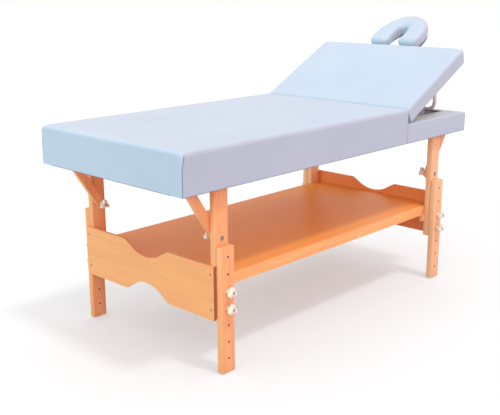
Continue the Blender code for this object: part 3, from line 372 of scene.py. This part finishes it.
def rounding_weights(pad, low, high, hinge_end, end_round):
    """Shares of HINGE_ROUND for the top edges and for the upright corners far from the hinge."""
    hinge_x, far_x = (high.x, low.x) if hinge_end > 0 else (low.x, high.x)
    bm = bmesh.new()
    bm.from_mesh(pad.data)
    weight = bm.edges.layers.float.new("bevel_weight_edge")
    for edge in bm.edges:
        first, second = (vert.co for vert in edge.verts)
        middle = (first + second) / 2
        upright = abs(first.z - second.z) > MM
        if upright and abs(middle.x - far_x) < MM:
            edge[weight] = CORNER_ROUND / HINGE_ROUND
        elif not upright and middle.z > high.z - MM:
            at_hinge, at_end = (abs(middle.x - x) < MM for x in (hinge_x, far_x))
            edge[weight] = 1.0 if at_hinge else (end_round if at_end else SIDE_ROUND) / HINGE_ROUND
    bm.to_mesh(pad.data)
    bm.free()


def upholstered_pad(name, low, high, hinge_end, firm, end_round, lean, seed):
    """A foam block in tight vinyl on a wooden frame, open below, rounded and filled above.

    Below the height firm the vinyl lies flat on wood. hinge_end, -1 or +1, is the side along X
    that the long hinge is on, and lean moves the top of the other end out along X."""
    low, high = Vector(low), Vector(high)
    pad = block(name, low, high)
    rounding_weights(pad, low, high, hinge_end, end_round)
    applied(pad, "BEVEL", width=HINGE_ROUND, segments=6, limit_method="WEIGHT")
    far_x = low.x if hinge_end > 0 else high.x
    gridded(pad, low, high)
    drop_faces(pad, lambda middle, normal: middle.z < low.z + 0.1 * MM)
    share = above(firm, firm + FILL_FADE)
    for vert in pad.data.vertices:
        place = vert.co
        height = (place.z - low.z) / (high.z - low.z)
        away = math.hypot(HALF_WIDTH - abs(place.y), place.x - far_x) / CORNER_REACH
        place.z += (TOP_RISE - CORNER_DROP * max(0.0, 1 - away) ** 2) * share(place)
        if abs(place.x - far_x) < LEAN_REACH:
            place.x += lean * height
    stuffed(pad, PAD_VOXEL, share, PAD_PRESSURE)
    ripple(pad, seed, share)
    applied(pad, "SOLIDIFY", thickness=VINYL, offset=-1.0)
    smooth(pad, 60.0)
    return pad


# Upholstery

def seat_upholstery():
    """Filled cover of the seat section, down its sides and its foot end."""
    pad = upholstered_pad("seat_upholstery", SEAT_LOW, SEAT_HIGH, 1, FRAME_TOP - 8 * MM,
                          SIDE_ROUND, 0.0, 3.0)
    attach(pad, "frame")
    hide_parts("seat_cover", "seat_foam")
    return pad


def backrest_upholstery():
    """Filled cover of the backrest, shaped flat and then raised to the angle in the photograph."""
    low = (HINGE.x + HINGE_ROOM, -HALF_WIDTH, BACKREST_BOTTOM)
    high = (BACKREST_END, HALF_WIDTH, TOP)
    pad = upholstered_pad("backrest_upholstery", low, high, -1, BACKREST_BOTTOM + 10 * MM,
                          BACKREST_END_ROUND, BACKREST_LEAN, 5.0)
    pad.data.transform(RAISE)
    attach(pad, "backrest")
    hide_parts("backrest_cover", "backrest_foam")
    return pad


def well_edges():
    """The opening of the well, from the frame's ring around it."""
    solid = frame["nodes"]["head_border"].data
    low, high = (Vector(corner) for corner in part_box("head_border"))
    inside = [vert.co for vert in solid.vertices
              if low.x + MM < vert.co.x < high.x - MM and low.y + MM < vert.co.y < high.y - MM]
    return (min(place.x for place in inside), min(place.y for place in inside),
            max(place.x for place in inside), max(place.y for place in inside))


def head_upholstery():
    """Vinyl on the head section: sides, end, the deck round the well and the well's lining."""
    top = HEAD_HIGH.z - MM
    shell = block("head_upholstery", HEAD_LOW, HEAD_HIGH)
    bevel_edges(shell, lambda middle, way: abs(way.z) > 0.9 and middle.x > HEAD_HIGH.x - MM,
                CORNER_ROUND, 4)
    bevel_edges(shell, level_above(top, lambda middle: middle.x > HEAD_LOW.x + MM), HEAD_ROUND, 4)
    drop_faces(shell, lambda middle, normal: normal.z < -0.9 or normal.x < -0.9)
    west, south, east, north = well_edges()
    for x in (west, east):
        cut_faces(shell, (x, 0, 0), (1, 0, 0))
    for y in (south, north):
        cut_faces(shell, (0, y, 0), (0, 1, 0))

    def over_well(middle, margin=0.0):
        return (west - margin < middle.x < east + margin
                and south - margin < middle.y < north + margin)

    raise_faces(shell, lambda middle, normal: facing_up(middle, normal) and over_well(middle),
                WELL_BOTTOM + LINING_GAP - HEAD_HIGH.z)
    bevel_edges(shell, level_above(top, lambda middle: over_well(middle, MM)), WELL_ROUND, 3)
    drop_faces(shell, lambda middle, normal: (facing_up(middle, normal)
                                              and middle.z < HEAD_LOW.z + 20 * MM))
    outward(shell)
    applied(shell, "SOLIDIFY", thickness=VINYL, offset=-1.0)
    smooth(shell)
    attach(shell, "frame")
    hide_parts("head_cover")
    return shell


def fill_face_hole(pad):
    """Foam bulges into the face hole: walls that look towards it move in, along the pad's plane."""
    lower = RAISE.inverted()
    turn = lower.to_3x3()
    corners = [lower @ vert.co for vert in pad.data.vertices]
    middle = (min(place.x for place in corners) + max(place.x for place in corners)) / 2
    steps = []
    for vert, place in zip(pad.data.vertices, corners):
        inward = Vector((min(place.x, middle) - place.x, -place.y, 0.0))
        across = inward.length
        facing = (turn @ vert.normal).dot(inward.normalized()) if across > MM else 0.0
        steps.append(turn.inverted() @ inward.normalized() * FACE_HOLE_BULGE * max(0.0, facing))
    for vert, step in zip(pad.data.vertices, steps):
        vert.co += step


def cradle_cushion():
    """Horseshoe pad, taken from its solid at rest and stuffed."""
    source = frame["nodes"]["cradle_pad"]
    mesh = source.data.copy()
    mesh.transform(source.matrix_world)
    mesh.materials.clear()
    pad = linked("cradle_cushion", mesh)
    outward(pad)
    applied(pad, "REMESH", mode="VOXEL", voxel_size=CUSHION_VOXEL)
    stuffed(pad, CUSHION_VOXEL, lambda place: 1.0, CUSHION_PRESSURE)
    fill_face_hole(pad)
    applied(pad, "SMOOTH", factor=0.5, iterations=4)
    applied(pad, "SUBSURF", levels=1, render_levels=1)
    smooth(pad, 80.0)
    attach(pad, "face_cradle")
    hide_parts("cradle_pad")
    return pad


# Seams

def seam_line(name, points, radius, body):
    """A narrow raised seam along a run of points."""
    curve = bpy.data.curves.new(name, "CURVE")
    curve.dimensions = "3D"
    curve.bevel_depth = radius
    curve.bevel_resolution = 2
    curve.use_fill_caps = True
    spline = curve.splines.new("POLY")
    spline.points.add(len(points) - 1)
    for point, place in zip(spline.points, points):
        point.co = (*place, 1.0)
    only(linked(name, curve))
    bpy.ops.object.convert(target="MESH")
    seam = bpy.context.object
    outward(seam)
    smooth(seam, 60.0)
    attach(seam, body)
    return seam


def drawn_on(pad, guide, proud=0.3 * MM):
    """The guide's points moved onto the vinyl, a little proud of it."""
    points = []
    for place in guide:
        _, found, normal, _ = pad.closest_point_on_mesh(Vector(place))
        points.append(found + normal * proud)
    return points


def seam_rise(x, y, low, high, lean=0.0):
    """An upright run of points whose top part leans along X."""
    places = []
    for step in range(SEAM_STEPS + 1):
        z = low + (high - low) * step / SEAM_STEPS
        share = max(0.0, 1 - (high - z) / SEAM_LEAN_REACH)
        places.append((x + lean * eased(share), y, z))
    return places


def lower_fold(x_from, x_to, y, z, end):
    """Along the lower edge: one long side, the end and the other long side."""
    start, corner = (x_from, FOLD_CORNER) if end == x_to else (x_to, -FOLD_CORNER)
    shares = [step / FOLD_STEPS for step in range(FOLD_STEPS + 1)]
    along = [start + (end - corner - start) * share for share in shares]
    across = [y * (1 - 2 * share) for share in shares[1:-1]]
    return ([(x, y, z) for x in along] + [(end, place, z) for place in across]
            + [(x, -y, z) for x in reversed(along)])


def sewn_lines(seat, head):
    """Sewn joins at the corners and between seat and head section, and the folds below both."""
    seams = []
    seat_low, head_low = SEAT_LOW.z + 2 * MM, HEAD_LOW.z + 2 * MM
    for side, sign in (("right", -1), ("left", 1)):
        y = sign * HALF_WIDTH
        runs = (
            ("foot_corner_seam", seat, 1.1 * MM,
             seam_rise(SEAT_LOW.x, y, seat_low, TOP - 9 * MM, SEAM_LEAN)),
            ("head_corner_seam", head, SEAM_RADIUS,
             seam_rise(HEAD_HIGH.x, y, head_low, HEAD_HIGH.z - 5 * MM)),
            ("side_seam", seat, 0.9 * MM,
             seam_rise(SEAT_HIGH.x - 1 * MM, y, seat_low, HEAD_HIGH.z + 2 * MM)),
        )
        for name, pad, radius, guide in runs:
            seams.append(seam_line(f"{name}_{side}", drawn_on(pad, guide), radius, "frame"))
    for name, pad, low, high, end in (("seat", seat, SEAT_LOW, SEAT_HIGH, SEAT_LOW.x),
                                      ("head", head, HEAD_LOW, HEAD_HIGH, HEAD_HIGH.x)):
        guide = lower_fold(low.x, high.x, HALF_WIDTH, low.z + 1 * MM, end)
        seams.append(seam_line(f"{name}_lower_fold", drawn_on(pad, guide, 0.2 * MM), SEAM_RADIUS,
                               "frame"))
    return seams


# Fasteners

def placed_copy(model, name, place, direction, body, look, spin):
    """A copy of a model that stands along +Z, turned onto a direction."""
    piece = linked(name, model.data.copy())
    turn = Vector(direction).to_track_quat("Z", "Y").to_matrix().to_4x4()
    piece.data.transform(Matrix.Translation(place) @ turn @ Matrix.Rotation(spin, 4, "Z"))
    dress(piece, look)
    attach(piece, body)


def countersunk_screw():
    """Head of a countersunk screw with a cross recess, its face towards +Z."""
    bare()
    bpy.ops.mesh.primitive_cylinder_add(vertices=24, radius=SCREW_RADIUS, depth=SCREW_HEAD)
    screw = named("panel_screw")
    bevel_edges(screw, level_above(0.5 * MM), 0.4 * MM, 2)
    x, y = Vector((1, 0, 0)), Vector((0, 1, 0))
    for distance, directions in ((CROSS_HALF_WIDTH, (y, x)), (CROSS_HALF_LENGTH, (x, y))):
        for direction in directions:
            for sign in (-1, 1):
                cut_faces(screw, direction * sign * distance, direction, facing_up)

    def in_cross(middle, normal):
        short, long = sorted((abs(middle.x), abs(middle.y)))
        return facing_up(middle, normal) and short < CROSS_HALF_WIDTH and long < CROSS_HALF_LENGTH

    raise_faces(screw, in_cross, -CROSS_DEPTH)
    smooth(screw)
    return screw


def bolt_end():
    """Hexagon nut with the rounded end of its bolt, standing up along +Z."""
    bare()
    bpy.ops.mesh.primitive_cylinder_add(vertices=6, radius=NUT_RADIUS, depth=NUT_HEIGHT,
                                        location=(0, 0, 1.0 * MM))
    nut = named("bolt_end")
    bevel_edges(nut, level_above(2 * MM), 0.5 * MM, 2)
    raise_faces(nut, lambda middle, normal: normal.z > 0.95, BOLT_RISE, BOLT_RIM)
    bevel_edges(nut, level_above(3.9 * MM), 0.6 * MM, 2)
    smooth(nut, 35.0)
    return nut


def fasteners():
    """Screws that hold the end panels to the legs, and a nut in the middle of each knob."""
    zinc = steel("zinc_plated_fastener", "A8A49C", 0.36)
    dark = steel("bronzed_screw", "5C4026", 0.5, 0.0)
    screw, nut = countersunk_screw(), bolt_end()
    for end, sign in (("foot", -1), ("head", 1)):
        low, high = (Vector(corner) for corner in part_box(f"end_panel_{end}"))
        face = low.x if sign < 0 else high.x
        for side, y in (("right", low.y + SCREW_FROM_SIDE), ("left", high.y - SCREW_FROM_SIDE)):
            for label, z in (("low", low.z + SCREW_FROM_BOTTOM), ("high", high.z - SCREW_FROM_TOP)):
                placed_copy(screw, f"panel_screw_{end}_{side}_{label}",
                            (face - sign * SCREW_SUNK, y, z), (sign, 0, 0), "frame", dark,
                            SCREW_TURN + z)
    for name in frame["nodes"]:
        if "knob" not in name:
            continue
        turning = name.replace("leg_knob_", "").replace("brace_knob", "brace")
        joint = JOINTS["knob_turn_" + turning]
        low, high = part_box(name)
        axis = Vector(joint["axis"])
        place = Vector(joint["pos_m"])
        place.y = (high[1] if axis.y > 0 else low[1]) - axis.y * NUT_SUNK
        placed_copy(nut, "nut_of_" + name, place, axis, joint["child"], zinc, NUT_TURN)
    for model in (screw, nut):
        bpy.data.objects.remove(model, do_unlink=True)


# Materials

def srgb(value):
    """An sRGB hex value as linear colour."""
    channels = [int(value[place:place + 2], 16) / 255 for place in (0, 2, 4)]
    linear = [c / 12.92 if c <= 0.04045 else ((c + 0.055) / 1.055) ** 2.4 for c in channels]
    return (*linear, 1.0)


def finish(name):
    """A new material and its shader."""
    made = bpy.data.materials.new(name)
    made.use_nodes = True
    return made, made.node_tree.nodes["Principled BSDF"]


def node(owner, kind, inputs=None, ramp=(), **settings):
    """Adds a node; inputs are values or (node, output) pairs to link.

    ramp is the (place, colour) pairs of a colour ramp, and settings are the node's own."""
    added = owner.node_tree.nodes.new(kind)
    for key, value in settings.items():
        setattr(added, key, value)
    for number, (place, colour) in enumerate(ramp):
        added.color_ramp.elements[number].position = place
        added.color_ramp.elements[number].color = srgb(colour)
    for socket, value in (inputs or {}).items():
        if isinstance(value, tuple) and isinstance(value[0], bpy.types.Node):
            join(owner, value[0], value[1], added, socket)
        else:
            added.inputs[socket].default_value = value
    return added


def join(owner, source, output, target, socket):
    owner.node_tree.links.new(source.outputs[output], target.inputs[socket])


def constants(shader, **values):
    """Sets a shader's sockets; an underscore in a key stands for a space."""
    for socket, value in values.items():
        shader.inputs[socket.replace("_", " ")].default_value = value


def vinyl(name, base, deep):
    """Knitted-back PVC vinyl, calendered with a fine leather grain, drawn over foam.

    A soft sheen, grain cells of about 1.6 mm and faint cloudy variation in tone."""
    made, shader = finish(name)
    place = node(made, "ShaderNodeTexCoord")
    cloud = node(made, "ShaderNodeTexNoise", {"Vector": (place, "Object"), "Scale": CLOUD_SCALE,
                                              "Detail": 3.0})
    tone = node(made, "ShaderNodeValToRGB", {"Fac": (cloud, "Fac")},
                ramp=((0.35, deep), (0.65, base)))
    join(made, tone, "Color", shader, "Base Color")
    cells = node(made, "ShaderNodeTexVoronoi", {"Vector": (place, "Object"),
                                                "Scale": 1 / (1.6 * MM)},
                 feature="DISTANCE_TO_EDGE")
    crease = node(made, "ShaderNodeTexNoise", {"Vector": (place, "Object"), "Scale": 1 / (9 * MM),
                                               "Detail": 4.0})
    height = node(made, "ShaderNodeMix", {"Factor": 0.4, "A": (cells, "Distance"),
                                          "B": (crease, "Fac")}, data_type="FLOAT")
    bump = node(made, "ShaderNodeBump", {"Strength": 0.12, "Distance": 0.4 * MM,
                                         "Height": (height, "Result")})
    join(made, bump, "Normal", shader, "Normal")
    constants(shader, Roughness=0.48, Specular_IOR_Level=0.4, Sheen_Weight=0.08)
    return made


def magnitude_below(material, split, axis, limit):
    """1 where the size of one part of a split vector is below the limit, else 0."""
    size = node(material, "ShaderNodeMath", {0: (split, axis)}, operation="ABSOLUTE")
    return node(material, "ShaderNodeMath", {0: (size, "Value"), 1: limit}, operation="LESS_THAN")


def in_bores(material, place, middle):
    """1 on the walls of the holes that run across a leg board at the X of its middle."""
    way = node(material, "ShaderNodeSeparateXYZ", {"Vector": (place, "Normal")})
    shift = node(material, "ShaderNodeVectorMath", {0: (place, "Object"), 1: (middle, 0.0, 0.0)},
                 operation="SUBTRACT")
    where = node(material, "ShaderNodeSeparateXYZ", {"Vector": (shift, "Vector")})
    mask = magnitude_below(material, where, "X", BORE_REACH)
    for axis, limit in (("Y", 0.1), ("Z", 0.985)):
        below = magnitude_below(material, way, axis, limit)
        mask = node(material, "ShaderNodeMath", {0: (mask, "Value"), 1: (below, "Value")},
                    operation="MULTIPLY")
    return mask


def at_ends(material, place, along):
    """1 on the faces that cut across the grain."""
    way = node(material, "ShaderNodeSeparateXYZ", {"Vector": (place, "Normal")})
    low = magnitude_below(material, way, along, 0.9)
    return node(material, "ShaderNodeMath", {0: 1.0, 1: (low, "Value")}, operation="SUBTRACT")


def streaks(material, place, along, width, run, **inputs):
    """Noise drawn out along the grain, with streaks of a width and a run."""
    scale = [1 / width] * 3
    scale["XYZ".index(along)] = 1 / run
    mapping = node(material, "ShaderNodeMapping", {"Vector": (place, "Object"), "Scale": scale})
    return node(material, "ShaderNodeTexNoise", {"Vector": (mapping, "Vector"), "Scale": 1.0,
                                                 **inputs})


def pine(name, along, light, dark, streak=5 * MM, raw=None, middle=None):
    """Planed, clear-varnished pine or plywood: thin darker growth lines along the board.

    along is the axis of the grain. Lines are 5 to 14 mm apart and run on for a quarter metre.
    raw is painted in the bores of a leg board whose middle is given, as their
    shade, or else at the ends, as end grain and as the shade of the gap beside the legs."""
    made, shader = finish(name)
    place = node(made, "ShaderNodeTexCoord")
    lines = streaks(made, place, along, streak, LINE_RUN,
                    Detail=5.0, Roughness=0.62, Distortion=0.25)
    broad = streaks(made, place, along, BROAD_WIDTH, BROAD_RUN, Detail=2.0)
    both = node(made, "ShaderNodeMix", {"Factor": 0.45, "A": (lines, "Fac"), "B": (broad, "Fac")},
                data_type="FLOAT")
    tone = node(made, "ShaderNodeValToRGB", {"Fac": (both, "Result")},
                ramp=((0.36, dark), (0.62, light)))
    # Painted shade in the bores, or end grain with painted gap shade at the ends, over the grain's
    # tone
    if raw:
        mask = at_ends(made, place, along) if middle is None else in_bores(made, place, middle)
        cut_and_shade_mix = node(made, "ShaderNodeMix", {MIX_A: (tone, "Color"), MIX_B: srgb(raw),
                                           MIX_FACTOR: (mask, "Value")}, data_type="RGBA")
        join(made, cut_and_shade_mix, MIX_RESULT, shader, "Base Color")
    else:
        join(made, tone, "Color", shader, "Base Color")
    bump = node(made, "ShaderNodeBump", {"Strength": 0.15, "Distance": 0.2 * MM,
                                         "Height": (lines, "Fac")})
    join(made, bump, "Normal", shader, "Normal")
    constants(shader, Roughness=0.42, Specular_IOR_Level=0.28, Coat_Weight=0.05,
              Coat_Roughness=0.25)
    return made


def steel(name, colour, roughness, metallic=1.0):
    """Zinc-plated or painted steel with a faint unevenness in its gloss."""
    made, shader = finish(name)
    place = node(made, "ShaderNodeTexCoord")
    spots = node(made, "ShaderNodeTexNoise", {"Vector": (place, "Object"), "Scale": 1 / (4 * MM),
                                              "Detail": 3.0})
    gloss = node(made, "ShaderNodeMapRange", {"Value": (spots, "Fac"), "To Min": roughness - 0.06,
                                              "To Max": roughness + 0.08})
    join(made, gloss, "Result", shader, "Roughness")
    constants(shader, Base_Color=srgb(colour), Metallic=metallic)
    return made


def moulded(name, colour, roughness):
    """Injection-moulded nylon, a little translucent, with the fine pitting of its mould."""
    made, shader = finish(name)
    place = node(made, "ShaderNodeTexCoord")
    pits = node(made, "ShaderNodeTexNoise", {"Vector": (place, "Object"), "Scale": 1 / (1.2 * MM),
                                             "Detail": 2.0})
    bump = node(made, "ShaderNodeBump", {"Strength": 0.08, "Distance": 0.2 * MM,
                                         "Height": (pits, "Fac")})
    join(made, bump, "Normal", shader, "Normal")
    constants(shader, Base_Color=srgb(colour), Roughness=roughness, Subsurface_Weight=0.1,
              Subsurface_Radius=(4 * MM, 3 * MM, 2 * MM))
    return made


# Dressing

def dress(piece, look):
    """Gives a piece one material."""
    piece.data.materials.clear()
    piece.data.materials.append(look)


def dress_node(name, look):
    """Gives one material to all slots of a solid of the frame."""
    solid = frame["nodes"][name]
    if not solid.material_slots:
        solid.data.materials.append(look)
    for slot in solid.material_slots:
        slot.material = look


def soften(name):
    """CAD facets shaded as the round surface that they stand for."""
    solid = frame["nodes"][name]
    weld = solid.modifiers.new("weld", "WELD")
    weld.merge_threshold = WELD_GAP
    split = solid.modifiers.new("creases", "EDGE_SPLIT")
    split.split_angle = math.radians(ROUND_ANGLE)
    split.use_edge_sharp = False
    for face in solid.data.polygons:
        face.use_smooth = True


def board_middle(end):
    """The X of the middle of the leg boards at an end of the table."""
    low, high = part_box(f"leg_extension_{end}_right")
    return (low[0] + high[0]) / 2


def dress_frame():
    """Each solid takes the first look that lists the start of its name, or else plated steel."""
    looks = (
        # Clear-varnished pine: the head legs take a lighter copy of the leg pine, as painted light
        (("upper_leg_head", "leg_extension_head"),
         pine("varnished_pine_sapwood", "Z", "F8C297", "F5AD7C", raw=BORE_SHADE_COLOUR,
              middle=board_middle("head"))),
        (("upper_leg", "leg_extension"),
         pine("varnished_pine_upright", "Z", "F8B17D", "F49963", raw=BORE_SHADE_COLOUR,
              middle=board_middle("foot"))),
        (("brace_foot", "brace_head"), pine("varnished_pine_brace", "Z", "F8B17D", "F49963")),
        # Head panel redder and darker than the foot panel: painted warm shade under the table
        (("end_panel_head",),
         pine("varnished_pine_heartwood", "Y", "F58C4E", "F28348", 12 * MM, END_GRAIN_AND_SHADE_COLOUR)),
        (("end_panel", "end_rail", "cross_rail", "hinge_rail"),
         pine("varnished_pine_crosswise", "Y", "F8A66C", "F09B61", 12 * MM, END_GRAIN_AND_SHADE_COLOUR)),
        (("shelf_rail", "side_rail"), pine("varnished_pine_lengthwise", "X", "F8B876", "F79E5D")),
        # Plywood: varnished for the shelf, in a deeper orange that is painted warm bounce light in
        # the shade under the top; raw under the upholstery
        (("shelf_board",), pine("varnished_shelf_plywood", "X", "F89B41", "F8933A", 14 * MM)),
        (("seat_deck", "head_border", "backrest_board"),
         pine("birch_plywood", "Y", "EBC593", "D4A671", 12 * MM)),
        # Vinyl glued to boards: inside the well, lighter than the pads' vinyl, as painted light
        # against the well's shade
        (("bar_rack", "well_floor"), vinyl("pale_lining_vinyl", "C9C8D8", "C4C3D4")),
        # Dark vinyl behind the face cradle: painted shade at the bottom of the face hole
        (("cradle_plate",), vinyl("dark_backing_vinyl", "7E7A90", "757186")),
        # Powder-coated tube, cast nylon knobs, zinc-plated bolts
        (("support_bar",), steel("painted_steel_tube", "E8E0E6", 0.34, 0.0)),
        (("leg_knob", "brace_knob"), moulded("cream_nylon", "EEDAC9", 0.42)),
        (("brace_bolt",), steel("zinc_plated_bolt", "8A8683", 0.26)),
    )
    plated = steel("zinc_plated_steel", "B9B7B2", 0.32)
    for name in frame["nodes"]:
        dress_node(name, next((look for starts, look in looks if name.startswith(starts)), plated))
        soften(name)


def dress_upholstery(pads, seams):
    """Pale vinyl on the pads; seams darker, as their folds lie in shadow."""
    pale = vinyl("grained_pale_blue_vinyl", "B6BBC8", "B2B7C5")
    folded = vinyl("vinyl_seam_in_shadow", "6E7690", "646C88")
    drawn = vinyl("vinyl_seam_in_light", "9DA2B5", "979CB0")
    for pad in pads:
        dress(pad, pale)
    for seam in seams:
        dress(seam, drawn if seam.name.startswith("side_seam") else folded)


# Studio

def studio_floor():
    """A pale floor that fades into the white round it."""
    bare()
    bpy.ops.mesh.primitive_plane_add(size=FLOOR_SPAN, location=(0.0, 0.0, -FLOOR_GAP))
    floor = named("studio_floor")
    made, shader = finish("white_studio_floor")
    constants(shader, Base_Color=srgb("B6B2B3"), Roughness=0.9, Specular_IOR_Level=0.1)
    path = node(made, "ShaderNodeLightPath")
    seen = node(made, "ShaderNodeMath", {0: (path, "Is Camera Ray"), 1: (path, "Is Glossy Ray")},
                operation="MAXIMUM")
    glow = node(made, "ShaderNodeEmission", {"Color": FLOOR_GLOW, "Strength": FLOOR_GLOW_STRENGTH})
    dark = node(made, "ShaderNodeEmission", {"Color": BLACK, "Strength": 0.0})
    shown = node(made, "ShaderNodeMixShader", {0: (seen, "Value"), 1: (dark, "Emission"),
                                               2: (glow, "Emission")})
    total = node(made, "ShaderNodeAddShader", {0: (shader, "BSDF"), 1: (shown, "Shader")})
    join(made, total, "Shader", made.node_tree.nodes["Material Output"], "Surface")
    dress(floor, made)


def studio_world():
    """White light from all round, and plain white where the camera sees past the floor."""
    world = bpy.data.worlds.new("white_studio")
    bpy.context.scene.world = world
    world.use_nodes = True
    back = world.node_tree.nodes["Background"]
    constants(back, Color=WHITE, Strength=WORLD_STRENGTH)
    path = node(world, "ShaderNodeLightPath")
    either = node(world, "ShaderNodeMath", {0: (path, "Is Camera Ray"),
                                            1: (path, "Is Transmission Ray")},
                  operation="MAXIMUM")
    white = node(world, "ShaderNodeBackground", {"Color": WHITE})
    mix = node(world, "ShaderNodeMixShader", {0: (either, "Value"), 1: (back, "Background"),
                                              2: (white, "Background")})
    join(world, mix, "Shader", world.node_tree.nodes["World Output"], "Surface")


def soft_lamp(name, travel, spread, strength, colour):
    """Even light from a wide screen far off; travel is the way that it shines."""
    lamp = bpy.data.lights.new(name, "SUN")
    lamp.angle = math.radians(spread)
    lamp.energy = strength * math.pi
    lamp.color = srgb(colour)[:3]
    linked(name, lamp).rotation_euler = Vector(travel).to_track_quat("-Z", "Y").to_euler()


def camera():
    """The camera that took the photograph."""
    lens = bpy.data.cameras.new("camera")
    lens.lens = LENS
    lens.sensor_width = SENSOR
    lens.sensor_fit = "HORIZONTAL"
    lens.clip_end = 100.0
    holder = linked("camera", lens)
    holder.location = HINGE + Vector(CAMERA_FROM_HINGE)
    holder.rotation_mode = "QUATERNION"
    aim = Vector(CAMERA_AIM).to_track_quat("-Z", "Y")
    holder.rotation_quaternion = aim @ Quaternion((0.0, 0.0, 1.0), math.radians(CAMERA_ROLL))
    bpy.context.scene.camera = holder


bpy.context.scene.view_settings.view_transform = "Standard"
camera()
studio_world()
for lamp in LAMPS:
    soft_lamp(*lamp)
studio_floor()
dress_frame()
pads = [seat_upholstery(), backrest_upholstery(), head_upholstery(), cradle_cushion()]
dress_upholstery(pads, sewn_lines(pads[0], pads[2]))
fasteners()
